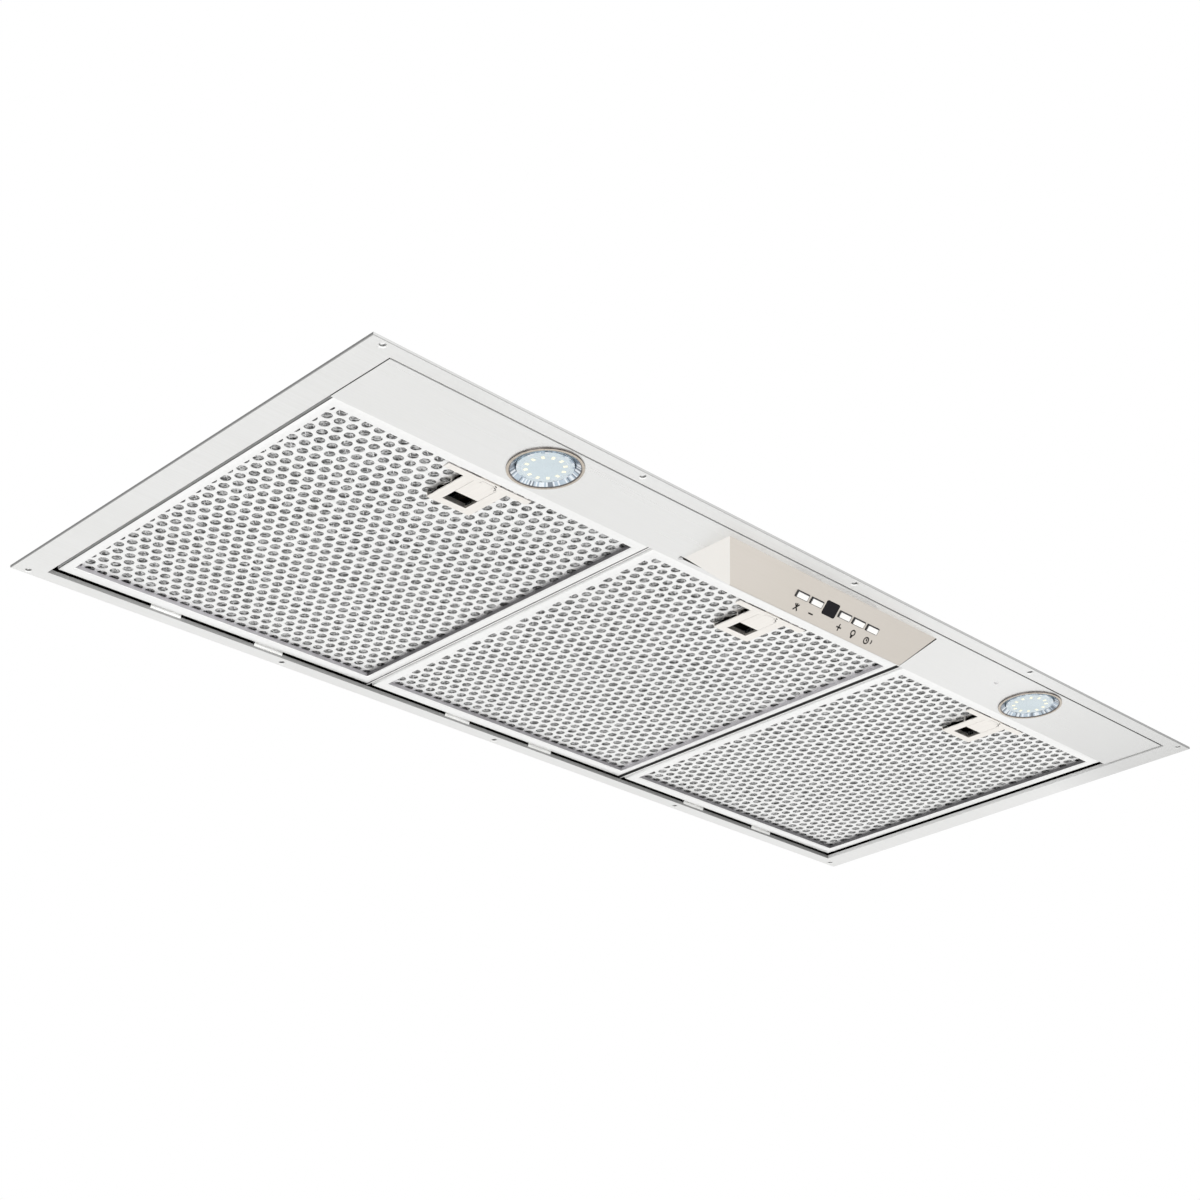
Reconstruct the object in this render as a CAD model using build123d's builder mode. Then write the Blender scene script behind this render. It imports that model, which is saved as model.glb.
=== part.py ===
import os
from math import cos, radians, sin, sqrt

from build123d import *

os.makedirs("parts", exist_ok=True)

# Range hood insert. X runs along the front, +Y points to the rear, +Z points up.
# Z = 0 is the plane where the folded rim of the flange meets the cabinet above it,
# and the origin is the centre of the corner screws in that plane. Sizes are in mm.

# ---------------------------------------------------------------- driving sizes
sheet = 1.0                  # sheet steel of the flange, the canopy and the panels
thin_sheet = 0.8             # sheet of the filter skins and the scroll

flange_width = 1170.0
flange_depth = 505.0
side_band = 29.0             # visible flange at the left and right
end_band = 15.0              # visible flange at the front and rear
hem_gap = 0.6                # between the two layers of the folded rim
hem_width = 11.0
rim_chamfer = 0.5
lip_height = 4.0             # turned-up edge round the opening

mount_hole_radius = 2.1
mount_head_radius = 3.75
mount_hole_count = 5         # along the front, and as many along the rear
mount_edge = 6.5             # hole centre to the front or rear edge
mount_end = 14.5             # first hole centre to the left or right edge

hem_clearance = 0.5          # folded rim to the canopy wall
canopy_side_inset = 15.0
canopy_wall = 46.6           # upright part of the canopy
canopy_slope = 70.0          # height of its sloping part
roof_rim = 20.0              # flat rim that carries the blower box
roof_rim_inset = 12.0        # how far that rim reaches in below the box

box_width = 520.0
box_depth = 300.0
box_height = 176.0

panel_recess = 1.0           # light panel above the underside of the flange
panel_end_gap = 2.2
panel_front_gap = 3.0
panel_depth = 71.5
panel_upstand = 20.0         # turned-up rear edge of the light panel
panel_front_fold = 6.0

lamp_offset = 354.0          # lamp centre to the centre line
lamp_from_front = 35.5       # lamp centre to the panel's front edge
lamp_hole_radius = 31.5
trim_radius = 33.35
trim_proud = 1.5
trim_wall = 0.9
cone_mouth_radius = 30.6
cone_throat_radius = 25.4
cone_depth = 4.0
trim_sleeve = 9.0
lamp_radius = 24.9
lamp_disc_thickness = 2.0
lamp_body_height = 38.0
lamp_rim_height = 6.0
lamp_ribs = 16
lamp_taper = 18.0            # degrees
lamp_base_radius = 13.0
lamp_base_height = 9.0
lamp_fit = 0.3
socket_radius = 17.0

wedge_width = 306.6
wedge_depth = 55.0
wedge_drop = 29.0            # ridge below the light panel
wedge_from_front = 35.0      # ridge line to the panel's front edge
wedge_wall = 1.2
wedge_rim = 8.0
ridge_fillet = 1.6

button_pitch = 20.8
button_shift = 3.4           # middle of the row to the centre line
button_width = 17.0
button_height = 6.5
button_slope = 19.5          # row of buttons below the wedge's front edge
button_gap = 0.3
button_proud = 1.8
button_flange = 1.2
button_flange_thickness = 1.0
button_travel = 1.5
button_back_gap = 0.3
button_stem = 0.5
display_width = 18.5
display_height = 14.0
display_radius = 2.0
display_thickness = 2.0
display_proud = 0.2
display_gap = 0.2

board_width = 170.0
board_height = 24.0
board_thickness = 1.6
board_depth = 8.0            # front of the board behind the wedge's outer face
board_slope = 20.0           # centre of the board below the wedge's front edge
board_stud_radius = 2.5
board_stud_offset = 79.0
switch_size = 6.0
switch_gap = 0.3

filter_side_gap = 6.2        # outer cassettes to the lip
filter_between_gap = 8.3
filter_front_gap = 1.0
filter_rear_gap = 6.4
filter_recess = 2.5          # cassette rims above the underside of the flange
filter_height = 14.0
filter_sheet = 1.0
rim_width_side = 10.0
rim_width_end = 12.0
rim_step = 5.0               # perforated sheet above the rim
middle_filter_shift = -1.9   # the cassettes sit to one side in their play
right_filter_shift = -2.4
skin_gap = 0.5               # skins and mesh inside the frame

perforation_pitch = 65.0     # every fifth hole of the real sheet
perforation_radius = 4.8
back_slot_pitch = 30.0
back_slot_width = 12.0

latch_width = 48.5
latch_front = 20.5           # latch plate behind the cassette's front edge
latch_length = 47.5
band_width = 95.0            # its wider front band
band_gap = 1.4               # band to the rim's inner edge
latch_margin = 3.0           # skins and mesh cut back round the latch
slider_width = 26.0
finger_start = 23.8          # finger hole behind the latch plate's front
finger_length = 16.0
tab_width = 13.4             # tab of the slider that reaches into the band
tab_length = 4.0
slider_gap = 0.3
carrier_width = 38.0
tongue_width = 22.0
tongue_reach = 2.0           # tongue in front of the upstand's front face
tongue_play = 2.0            # slot wider than the tongue
strap_offset = 20.0          # guide strap behind the latch plate's front
strap_leg = 1.5
spring_radius = 2.4
spring_wire = 0.6
spring_lift = 0.5            # spring above the slider
spring_gap = 0.2
plain_margin = 1.0           # plain skin round the latch plate

hook_width = 34.0
hook_offset = 60.0
hook_gap = 0.3
clip_sheet = 0.6
clip_rise = 3.2              # crest of the sprung rests above the lip
clip_reach = 2.5             # how far their front leg leans forward
clip_back_gap = 0.3
clip_bend = 0.9              # fold of the sprung rests

rail_web = 1.6
rail_flange = 24.0
rail_gap = 1.0
rail_web_lift = 2.1          # lower edge of the web above the cassette rims

collar_radius = 74.0         # outside of the duct collar
collar_wall = 1.0
collar_height = 50.0
collar_foot = 14.0
seat_height = 15.0           # damper seat above the foot
seat_width = 3.0
seat_thickness = 1.5
flap_gap = 0.3
flap_sheet = 0.8
flap_edge_gap = 1.2
pin_radius = 2.0
pin_fit = 0.05
knuckle_wall = 1.1
knuckle_length = 12.0
knuckle_near = 18.0
knuckle_far = 44.0
knuckle_clear = 0.5
flap_lap = 1.0               # knuckle tabs under the flap's edge

wheel_radius = 90.0
wheel_width = 144.0
blade_inner_radius = 75.0
blade_thickness = 1.2
blade_count = 26
blade_bow = 3.0
blade_lean = 6.0             # degrees from the root to the tip of a blade
wheel_disc = 1.6
wheel_ring = 2.0
wheel_ring_width = 6.0
hub_radius = 14.0
hub_length = 18.0
hub_end = 6.0                # hub beyond the middle of the wheel, towards the motor
shaft_radius = 4.0
shaft_fit = 0.05
shaft_out = 14.0             # shaft beyond the wheel's disc
shaft_in = 52.0              # shaft inside the motor
shaft_end_gap = 1.0
wheel_axis_lift = 60.0       # wheel's axis above the roof of the canopy
wheel_axis_shift = -14.0

volute_step = 14.0           # growth of the scroll's radius each quarter turn
volute_radius = 105.0
volute_growth = 2.5          # steps of growth where the scroll meets its outlet
volute_start = 62.0          # degrees, where the scroll begins at its tongue
throat_front = 5.0           # front wall of the outlet from the wheel's axis
scroll_side_gap = 12.0       # wheel to the scroll's side sheets
inlet_radius = 66.0
inlet_mouth_radius = 78.0
inlet_depth = 11.0
inlet_lap = 2.4              # inlet ring on the scroll's side
inlet_steps = 2              # facets of its bell mouth

motor_radius = 44.0
motor_length = 82.0
motor_gap = 10.0             # motor to the wheel's disc
motor_corner = 8.0
bracket_sheet = 2.0
bracket_arm = 14.0
bracket_post_radius = 5.0
bracket_post_circle = 86.0
capacitor_radius = 17.0
capacitor_height = 58.0
capacitor_from_end = 60.0    # capacitor's axis to the right end of the box
capacitor_lift = 50.0
capacitor_wall_gap = 0.2
clamp_sheet = 1.2
clamp_width = 8.0            # half of its height
clamp_foot = 12.0            # foot of the clamp beyond the capacitor

cover_height = 66.0          # wiring cover above the panel
cover_lift = 5.0             # its rear leg above the latch slots
cover_roof_gap = 1.2
cover_beyond_lamp = 60.0     # end of the cover beyond the lamp's centre
junction_width = 120.0
junction_depth = 40.0
junction_height = 86.0
junction_lift = 50.0
junction_lid_edge = 8.0
gland_radius = 9.0
gland_bore = 4.5
gland_fit = 0.05
gland_length = 18.0
gland_nut_radius = 12.0
gland_nut_height = 5.0
screw_head_radius = 3.6
screw_head_height = 2.2

# ---------------------------------------------------------------- worked out
face_z = -(2 * sheet + hem_gap)              # visible underside of the flange
band_top = face_z + sheet
opening_width = flange_width - 2 * side_band
opening_depth = flange_depth - 2 * end_band
lip_top = face_z + lip_height
mount_pitch = (flange_width - 2 * mount_end) / (mount_hole_count - 1)
mount_rows = flange_depth - 2 * mount_edge

canopy_width = flange_width - 2 * canopy_side_inset
canopy_depth = flange_depth - 2 * (hem_width + hem_clearance)
wall_top = band_top + canopy_wall
roof_top = wall_top + canopy_slope
roof_width = box_width + 2 * roof_rim
roof_depth = box_depth + 2 * roof_rim
box_top = roof_top + box_height

panel_z = face_z + panel_recess              # underside of the light panel
panel_top = panel_z + sheet
panel_front_y = -opening_depth / 2 + panel_front_gap
panel_rear_y = panel_front_y + panel_depth
panel_width = opening_width - 2 * panel_end_gap
lamp_y = panel_front_y + lamp_from_front
wedge_y = panel_front_y + wedge_from_front

rim_z = face_z + filter_recess               # underside of the cassette rims
skin_z = rim_z + rim_step
filter_top = rim_z + filter_height
back_z = filter_top - filter_sheet - thin_sheet
filter_front_y = panel_rear_y + filter_front_gap
filter_rear_y = opening_depth / 2 - filter_rear_gap
filter_depth = filter_rear_y - filter_front_y
filter_y = (filter_front_y + filter_rear_y) / 2
filter_width = (opening_width - 2 * filter_side_gap - 2 * filter_between_gap) / 3
filter_pitch = filter_width + filter_between_gap
inner_width = filter_width - 2 * (filter_sheet + skin_gap)
inner_depth = filter_depth - 2 * (filter_sheet + skin_gap)

crest_z = lip_top + clip_rise                # top of the sprung rests
hook_z = crest_z + hook_gap
wheel_y = wheel_axis_shift
wheel_z = roof_top + wheel_axis_lift
scroll_half = wheel_width / 2 + scroll_side_gap
outlet_rear = volute_radius + volute_growth * volute_step
outlet_y = wheel_y + (outlet_rear + throat_front) / 2


def save(piece, name):
    """Label a finished piece and write it as its own STEP file."""
    piece.part.label = name
    export_step(piece.part, f"parts/{name}.step")


# ---------------------------------------------------------------- flange
with BuildPart() as flange_frame:
    with BuildSketch(Plane.XY.offset(face_z)):
        Rectangle(flange_width, flange_depth)
        Rectangle(opening_width, opening_depth, mode=Mode.SUBTRACT)
    extrude(amount=sheet)
    # the rim is folded back on itself, with a thin gap between its layers
    with BuildSketch(Plane.XY.offset(face_z)):
        Rectangle(flange_width, flange_depth)
        Rectangle(flange_width - 2 * sheet, flange_depth - 2 * sheet, mode=Mode.SUBTRACT)
    extrude(amount=-face_z)
    with BuildSketch(Plane.XY.offset(-sheet)):
        Rectangle(flange_width, flange_depth)
        Rectangle(flange_width - 2 * hem_width, flange_depth - 2 * hem_width, mode=Mode.SUBTRACT)
    extrude(amount=sheet)
    # lip round the opening
    with BuildSketch(Plane.XY.offset(face_z)):
        Rectangle(opening_width + 2 * sheet, opening_depth + 2 * sheet)
        Rectangle(opening_width, opening_depth, mode=Mode.SUBTRACT)
    extrude(amount=lip_height)
    chamfer(flange_frame.edges().group_by(Axis.Z)[0].filter_by(
        lambda edge: max(abs(edge.center().X) - flange_width / 2,
                         abs(edge.center().Y) - flange_depth / 2) > -sheet), rim_chamfer)
    with Locations(Plane(origin=(0, 0, face_z), x_dir=(1, 0, 0), z_dir=(0, 0, -1))):
        with GridLocations(mount_pitch, mount_rows, mount_hole_count, 2):
            CounterSinkHole(mount_hole_radius, mount_head_radius, counter_sink_angle=90)
save(flange_frame, "flange_frame")

# ---------------------------------------------------------------- canopy and blower box
with BuildPart() as canopy_shell:
    # front and side outlines, each an upright wall under a slope
    with BuildSketch(Plane.XZ):
        with BuildLine():
            Polyline((-canopy_width / 2, band_top), (-canopy_width / 2, wall_top),
                     (-roof_width / 2, roof_top), (roof_width / 2, roof_top),
                     (canopy_width / 2, wall_top), (canopy_width / 2, band_top), close=True)
        make_face()
    extrude(amount=canopy_depth / 2, both=True)
    with BuildSketch(Plane.YZ):
        with BuildLine():
            Polyline((-canopy_depth / 2, band_top), (-canopy_depth / 2, wall_top),
                     (-roof_depth / 2, roof_top), (roof_depth / 2, roof_top),
                     (canopy_depth / 2, wall_top), (canopy_depth / 2, band_top), close=True)
        make_face()
    extrude(amount=canopy_width / 2, both=True, mode=Mode.INTERSECT)
    offset(amount=-sheet, openings=canopy_shell.faces().sort_by(Axis.Z)[0])
    with BuildSketch(Plane.XY.offset(roof_top)):
        Rectangle(box_width - 2 * roof_rim_inset, box_depth - 2 * roof_rim_inset)
    extrude(amount=-2 * sheet, mode=Mode.SUBTRACT)
save(canopy_shell, "canopy_shell")

junction_z = roof_top + junction_lift
wire_hole_z = junction_z + junction_height / 2
with BuildPart() as blower_box:
    with BuildSketch(Plane.XY.offset(roof_top)):
        Rectangle(box_width, box_depth)
    extrude(amount=box_height)
    offset(amount=-sheet, openings=blower_box.faces().sort_by(Axis.Z)[0])
    with BuildSketch(Plane.XY.offset(roof_top)):
        Rectangle(roof_width, roof_depth)
        Rectangle(box_width - 2 * sheet, box_depth - 2 * sheet, mode=Mode.SUBTRACT)
    extrude(amount=sheet)
    with Locations((0, outlet_y, box_top)):
        Hole(collar_radius - collar_wall, depth=2 * sheet)
    # hole for the wires into the junction box
    with Locations(Plane(origin=(box_width / 2, 0, wire_hole_z), z_dir=(1, 0, 0))):
        Hole(gland_radius, depth=2 * sheet)
save(blower_box, "blower_box")

# ---------------------------------------------------------------- light panel
slot_floor = rim_z + filter_sheet            # lower edge of the latch slots
slot_height = 2 * filter_sheet
tongue_z = slot_floor + slider_gap
filter_centres = {
    "left": -filter_pitch,
    "middle": middle_filter_shift,
    "right": filter_pitch + right_filter_shift,
}
upstand_y = panel_rear_y - sheet / 2

with BuildPart() as light_panel:
    with BuildSketch(Plane.XY.offset(panel_z)):
        with Locations((0, panel_front_y + panel_depth / 2)):
            Rectangle(panel_width, panel_depth)
        with Locations((-lamp_offset, lamp_y), (lamp_offset, lamp_y)):
            Circle(lamp_hole_radius, mode=Mode.SUBTRACT)
        with Locations((0, wedge_y)):
            Rectangle(wedge_width - 2 * wedge_rim, wedge_depth - 2 * wedge_rim, mode=Mode.SUBTRACT)
    extrude(amount=sheet)
    with BuildSketch(Plane.XY.offset(panel_z)):
        with Locations((0, upstand_y)):
            Rectangle(panel_width, sheet)
    extrude(amount=panel_upstand)
    with BuildSketch(Plane.XY.offset(panel_z)):
        with Locations((0, panel_front_y + sheet / 2)):
            Rectangle(panel_width, sheet)
    extrude(amount=panel_front_fold)
    # each latch tongue rests on the lower edge of its slot
    with Locations([(x, upstand_y, slot_floor + slot_height / 2) for x in filter_centres.values()]):
        Box(tongue_width + tongue_play, 3 * sheet, slot_height, mode=Mode.SUBTRACT)
save(light_panel, "light_panel")

# the wiring cover closes the lamp bay against the air and grease behind it
roof_run = (canopy_depth - roof_depth) / 2
roof_rate = canopy_slope / roof_run
cover_top = panel_top + cover_height
cover_front_y = (-canopy_depth / 2 + (cover_top - wall_top) / roof_rate
                 + sheet * sqrt(1 + roof_rate ** 2) / roof_rate + cover_roof_gap)
cover_rear_y = panel_rear_y - sheet
cover_half = lamp_offset + cover_beyond_lamp
with BuildPart() as wiring_cover:
    with BuildSketch(Plane.YZ):
        with Locations((cover_rear_y, slot_floor + cover_lift)):
            Rectangle(sheet, cover_top - slot_floor - cover_lift, align=(Align.MAX, Align.MIN))
        with Locations((cover_rear_y, cover_top)):
            Rectangle(cover_rear_y - cover_front_y, sheet, align=(Align.MAX, Align.MAX))
    extrude(amount=cover_half, both=True)
    # end walls, which stand on the light panel
    for side in (-1, 1):
        with BuildSketch(Plane.YZ.offset(side * cover_half)):
            with Locations((cover_rear_y, cover_top)):
                Rectangle(cover_rear_y - cover_front_y, cover_top - panel_top,
                          align=(Align.MAX, Align.MAX))
        extrude(amount=-side * sheet)
save(wiring_cover, "wiring_cover")

# ---------------------------------------------------------------- lamps
cone_z = panel_z - trim_proud
lamp_face_z = cone_z + cone_depth
lamp_top = lamp_face_z + lamp_disc_thickness + lamp_body_height + lamp_base_height

for side_name, lamp_x in (("left", -lamp_offset), ("right", lamp_offset)):
    section = Plane(origin=(lamp_x, lamp_y, 0), x_dir=(1, 0, 0), z_dir=(0, -1, 0))
    axis = Axis((lamp_x, lamp_y, 0), (0, 0, 1))

    with BuildPart() as lamp_trim:
        with BuildSketch(section):
            with BuildLine():
                Polyline((trim_radius, panel_z), (trim_radius, cone_z + trim_proud / 2),
                         (trim_radius - trim_proud / 2, cone_z), (cone_mouth_radius, cone_z),
                         (cone_throat_radius, lamp_face_z),
                         (cone_throat_radius, lamp_face_z + trim_sleeve),
                         (cone_throat_radius + trim_wall, lamp_face_z + trim_sleeve),
                         (cone_throat_radius + trim_wall, lamp_face_z),
                         (cone_mouth_radius, panel_z), close=True)
            make_face()
        revolve(axis=axis)
    save(lamp_trim, f"lamp_trim_{side_name}")

    with BuildPart() as lamp_disc:
        with BuildSketch(Plane.XY.offset(lamp_face_z)):
            with Locations((lamp_x, lamp_y)):
                Circle(lamp_radius)
        extrude(amount=lamp_disc_thickness)
        chamfer(lamp_disc.edges().group_by(Axis.Z)[0], lamp_disc_thickness / 4)
    save(lamp_disc, f"lamp_disc_{side_name}")

    body_z = lamp_face_z + lamp_disc_thickness
    body_top = body_z + lamp_body_height
    with BuildPart() as lamp_body:
        with BuildSketch(Plane.XY.offset(body_z)):
            with Locations((lamp_x, lamp_y)):
                RegularPolygon(lamp_radius, lamp_ribs)
        extrude(amount=lamp_rim_height)
        # the ribbed sides narrow to the base
        with BuildSketch(Plane.XY.offset(body_z + lamp_rim_height)):
            with Locations((lamp_x, lamp_y)):
                RegularPolygon(lamp_radius, lamp_ribs)
        extrude(amount=body_top - body_z - lamp_rim_height, taper=lamp_taper)
        with BuildSketch(Plane.XY.offset(body_top)):
            with Locations((lamp_x, lamp_y)):
                Circle(lamp_base_radius)
        extrude(amount=lamp_base_height)
    save(lamp_body, f"lamp_body_{side_name}")

with BuildPart() as lamp_sockets:
    with BuildSketch(Plane.XY.offset(lamp_top - lamp_base_height / 2)):
        with Locations((-lamp_offset, lamp_y), (lamp_offset, lamp_y)):
            RegularPolygon(socket_radius, 8)
            Circle(lamp_base_radius + lamp_fit, mode=Mode.SUBTRACT)
    extrude(amount=lamp_base_height / 2 + lamp_fit)
    with BuildSketch(Plane.XY.offset(lamp_top + lamp_fit)):
        with Locations((-lamp_offset, lamp_y), (lamp_offset, lamp_y)):
            RegularPolygon(socket_radius, 8)
    extrude(amount=cover_top - sheet - lamp_top - lamp_fit)
save(lamp_sockets, "lamp_sockets")

# ---------------------------------------------------------------- control housing
# The housing is a hipped wedge. Its front slope carries the row of buttons.
slope_length = sqrt(wedge_drop ** 2 + (wedge_depth / 2) ** 2)
slope_cos = wedge_depth / 2 / slope_length
slope_sin = wedge_drop / slope_length
front_slope = Plane(origin=(0, wedge_y - wedge_depth / 2, panel_z), x_dir=(1, 0, 0),
                    z_dir=(0, -slope_sin, -slope_cos))
button_names = ("power", "minus", "plus", "light", "timer")
button_places = (-2, -1, 1, 2, 3)            # the display takes the place between them
button_x = {name: button_shift + place * button_pitch
            for name, place in zip(button_names, button_places)}

with BuildPart() as control_housing:
    with BuildSketch(Plane.YZ):
        with BuildLine():
            Polyline((wedge_y - wedge_depth / 2, panel_z), (wedge_y + wedge_depth / 2, panel_z),
                     (wedge_y, panel_z - wedge_drop), close=True)
        make_face()
    extrude(amount=wedge_width / 2, both=True)
    for side in (-1, 1):
        hip = Plane(origin=(side * wedge_width / 2, wedge_y, panel_z), x_dir=(0, 1, 0),
                    z_dir=(side, 0, -1))
        split(bisect_by=hip, keep=Keep.BOTTOM)
    fillet(control_housing.edges().filter_by(Axis.X).sort_by(Axis.Z)[0], ridge_fillet)
    offset(amount=-wedge_wall, openings=control_housing.faces().sort_by(Axis.Z)[-1])
    with BuildSketch(Plane.XY.offset(panel_z)):
        with Locations((0, wedge_y)):
            Rectangle(wedge_width - 2 * wedge_wall, wedge_depth - 2 * wedge_wall)
            Rectangle(wedge_width - 2 * wedge_rim, wedge_depth - 2 * wedge_rim, mode=Mode.SUBTRACT)
    extrude(amount=-wedge_wall)
    with BuildSketch(front_slope):
        with Locations([(x, -button_slope) for x in button_x.values()]):
            Rectangle(button_width + 2 * button_gap, button_height + 2 * button_gap)
        with Locations((button_shift, -button_slope)):
            RectangleRounded(display_width + 2 * display_gap, display_height + 2 * display_gap,
                             display_radius)
    extrude(amount=-2 * wedge_wall, mode=Mode.SUBTRACT)
    # studs for the control board
    with BuildSketch(front_slope.offset(-wedge_wall / 2)):
        with Locations((-board_stud_offset, -board_slope), (board_stud_offset, -board_slope)):
            RegularPolygon(board_stud_radius, 8)
    extrude(amount=-(board_depth - wedge_wall / 2))
save(control_housing, "control_housing")

with BuildPart() as display_window:
    with BuildSketch(front_slope.offset(display_proud)):
        with Locations((button_shift, -button_slope)):
            RectangleRounded(display_width, display_height, display_radius)
    extrude(amount=-display_thickness)
save(display_window, "display_window")

flange_depth_in = wedge_wall + button_back_gap       # button flange behind the outer face
stem_end = flange_depth_in + button_flange_thickness + button_stem
switch_top = stem_end + button_travel + switch_gap
with BuildPart() as control_board:
    with BuildSketch(front_slope.offset(-board_depth)):
        with Locations((0, -board_slope)):
            Rectangle(board_width, board_height)
    extrude(amount=-board_thickness)
    with BuildSketch(front_slope.offset(-board_depth)):
        with Locations([(x, -button_slope) for x in button_x.values()]):
            Rectangle(switch_size, switch_size)
    extrude(amount=board_depth - switch_top)
    # the display's own block stands behind its window
    with BuildSketch(front_slope.offset(-board_depth)):
        with Locations((button_shift, -button_slope)):
            Rectangle(display_width - 2 * display_gap, display_height - 2 * display_gap)
    extrude(amount=board_depth - (display_thickness - display_proud) - display_gap)
save(control_board, "control_board")

for name, x in button_x.items():
    with BuildPart() as button:
        with BuildSketch(front_slope.offset(button_proud)):
            with Locations((x, -button_slope)):
                Rectangle(button_width, button_height)
        extrude(amount=-(button_proud + flange_depth_in + button_flange_thickness))
        chamfer(button.faces().sort_by(Axis(front_slope.origin, front_slope.z_dir))[-1].edges(), 0.5)
        with BuildSketch(front_slope.offset(-flange_depth_in)):
            with Locations((x, -button_slope)):
                Rectangle(button_width + 2 * button_flange, button_height + 2 * button_flange)
        extrude(amount=-button_flange_thickness)
        with BuildSketch(front_slope.offset(-flange_depth_in - button_flange_thickness)):
            with Locations((x, -button_slope)):
                Rectangle(switch_size / 2, switch_size / 2)
        extrude(amount=-button_stem)
    save(button, f"button_{name}")

# ---------------------------------------------------------------- filter cassettes
latch_front_y = filter_front_y + latch_front
latch_rear_y = latch_front_y + latch_length
latch_y = (latch_front_y + latch_rear_y) / 2
finger_front_y = latch_front_y + finger_start
finger_rear_y = finger_front_y + finger_length
strap_y = latch_front_y + strap_offset
carrier_top = tongue_z + filter_sheet
carrier_front_y = latch_front_y + filter_sheet + slider_gap
tongue_tip_y = panel_rear_y - sheet - tongue_reach
strap_top = back_z - skin_gap
spring_z = carrier_top + spring_lift + spring_radius


def ring(width, depth, border_x, border_y):
    """Rectangular ring in the sketch that is open."""
    Rectangle(width, depth)
    Rectangle(width - 2 * border_x, depth - 2 * border_y, mode=Mode.SUBTRACT)


def make_cassette(side_name, x):
    """One filter cassette, its latch and its spring, centred on x."""
    with BuildPart() as frame:
        for level, height, border_x, border_y in (
                (rim_z, filter_sheet, rim_width_side, rim_width_end),
                (rim_z, filter_height, filter_sheet, filter_sheet),
                (filter_top - filter_sheet, filter_sheet, rim_width_side, rim_width_end)):
            with BuildSketch(Plane.XY.offset(level)):
                with Locations((x, filter_y)):
                    ring(filter_width, filter_depth, border_x, border_y)
            extrude(amount=height)
        # the rim turns up at its inner edge as far as the skin
        with BuildSketch(Plane.XY.offset(rim_z)):
            with Locations((x, filter_y)):
                ring(filter_width - 2 * (rim_width_side - filter_sheet),
                     filter_depth - 2 * (rim_width_end - filter_sheet), filter_sheet, filter_sheet)
        extrude(amount=rim_step)
        # way for the latch tongue through both front walls
        with BuildSketch(Plane.XY.offset(slot_floor)):
            with Locations((x, filter_front_y + rim_width_end / 2)):
                Rectangle(tongue_width + tongue_play, rim_width_end + 2 * filter_sheet)
        extrude(amount=slot_height, mode=Mode.SUBTRACT)
        # hooks that rest on the sprung clips of the rear lip
        with BuildSketch(Plane.XY.offset(hook_z)):
            with Locations((x - hook_offset, filter_rear_y - filter_sheet / 2),
                           (x + hook_offset, filter_rear_y - filter_sheet / 2)):
                Rectangle(hook_width, filter_rear_gap + sheet + clip_back_gap + filter_sheet / 2,
                          align=(Align.CENTER, Align.MIN))
        extrude(amount=filter_sheet)
    save(frame, f"filter_frame_{side_name}")

    cut_width = latch_width - 2 * latch_margin
    cut_length = latch_length - 2 * filter_sheet      # its edges rest on the plate's walls
    rows = int((inner_depth - 2 * rim_width_end) / (perforation_pitch * sin(radians(60))))
    columns = int((inner_width - 2 * rim_width_side) / perforation_pitch)
    with BuildPart() as front_skin:
        with BuildSketch(Plane.XY.offset(skin_z)):
            with Locations((x, filter_y)):
                Rectangle(inner_width, inner_depth)
                for row in range(rows):
                    shift = perforation_pitch / 4 * (1 if row % 2 else -1)
                    with Locations((shift, (row - (rows - 1) / 2) * perforation_pitch * sin(radians(60)))):
                        with GridLocations(perforation_pitch, 1, columns, 1):
                            RegularPolygon(perforation_radius, 6, mode=Mode.SUBTRACT)
            # plain edge round the latch's cut-out
            with Locations((x, latch_y)):
                Rectangle(latch_width + 2 * plain_margin, latch_length + 2 * plain_margin)
                Rectangle(cut_width, cut_length, mode=Mode.SUBTRACT)
        extrude(amount=thin_sheet)
    save(front_skin, f"filter_skin_{side_name}")

    with BuildPart() as mesh:
        with BuildSketch(Plane.XY.offset(skin_z + thin_sheet)):
            with Locations((x, filter_y)):
                Rectangle(inner_width, inner_depth)
            with Locations((x, latch_y)):
                Rectangle(cut_width, cut_length, mode=Mode.SUBTRACT)
        extrude(amount=back_z - skin_z - thin_sheet)
    save(mesh, f"filter_mesh_{side_name}")

    slots = int((inner_width - 2 * rim_width_side) / back_slot_pitch)
    with BuildPart() as back_skin:
        with BuildSketch(Plane.XY.offset(back_z)):
            with Locations((x, filter_y)):
                Rectangle(inner_width, inner_depth)
                with GridLocations(back_slot_pitch, 1, slots, 1):
                    Rectangle(back_slot_width, inner_depth - 4 * rim_width_end, mode=Mode.SUBTRACT)
        extrude(amount=thin_sheet)
    save(back_skin, f"filter_back_{side_name}")

    with BuildPart() as latch_plate:
        with BuildSketch(Plane.XY.offset(rim_z)):
            with Locations((x, latch_y)):
                Rectangle(latch_width, latch_length)
            with Locations((x, latch_front_y)):
                Rectangle(band_width, latch_front - rim_width_end - band_gap,
                          align=(Align.CENTER, Align.MAX))
        extrude(amount=filter_sheet)
        # front and rear walls stand against the skin, and the sides stay open
        with BuildSketch(Plane.XY.offset(rim_z)):
            with Locations((x, latch_y)):
                Rectangle(latch_width, latch_length)
                Rectangle(latch_width, latch_length - 2 * filter_sheet, mode=Mode.SUBTRACT)
        extrude(amount=rim_step)
        # the slider fills the plate's front half and passes its front wall
        with BuildSketch(Plane.XY.offset(rim_z)):
            with Locations((x, latch_front_y)):
                Rectangle(slider_width + 2 * slider_gap, finger_rear_y - latch_front_y,
                          align=(Align.CENTER, Align.MIN))
                Rectangle(tab_width + 2 * slider_gap, tab_length + slider_gap,
                          align=(Align.CENTER, Align.MAX))
        extrude(amount=carrier_top + slider_gap - rim_z, mode=Mode.SUBTRACT)
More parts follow.
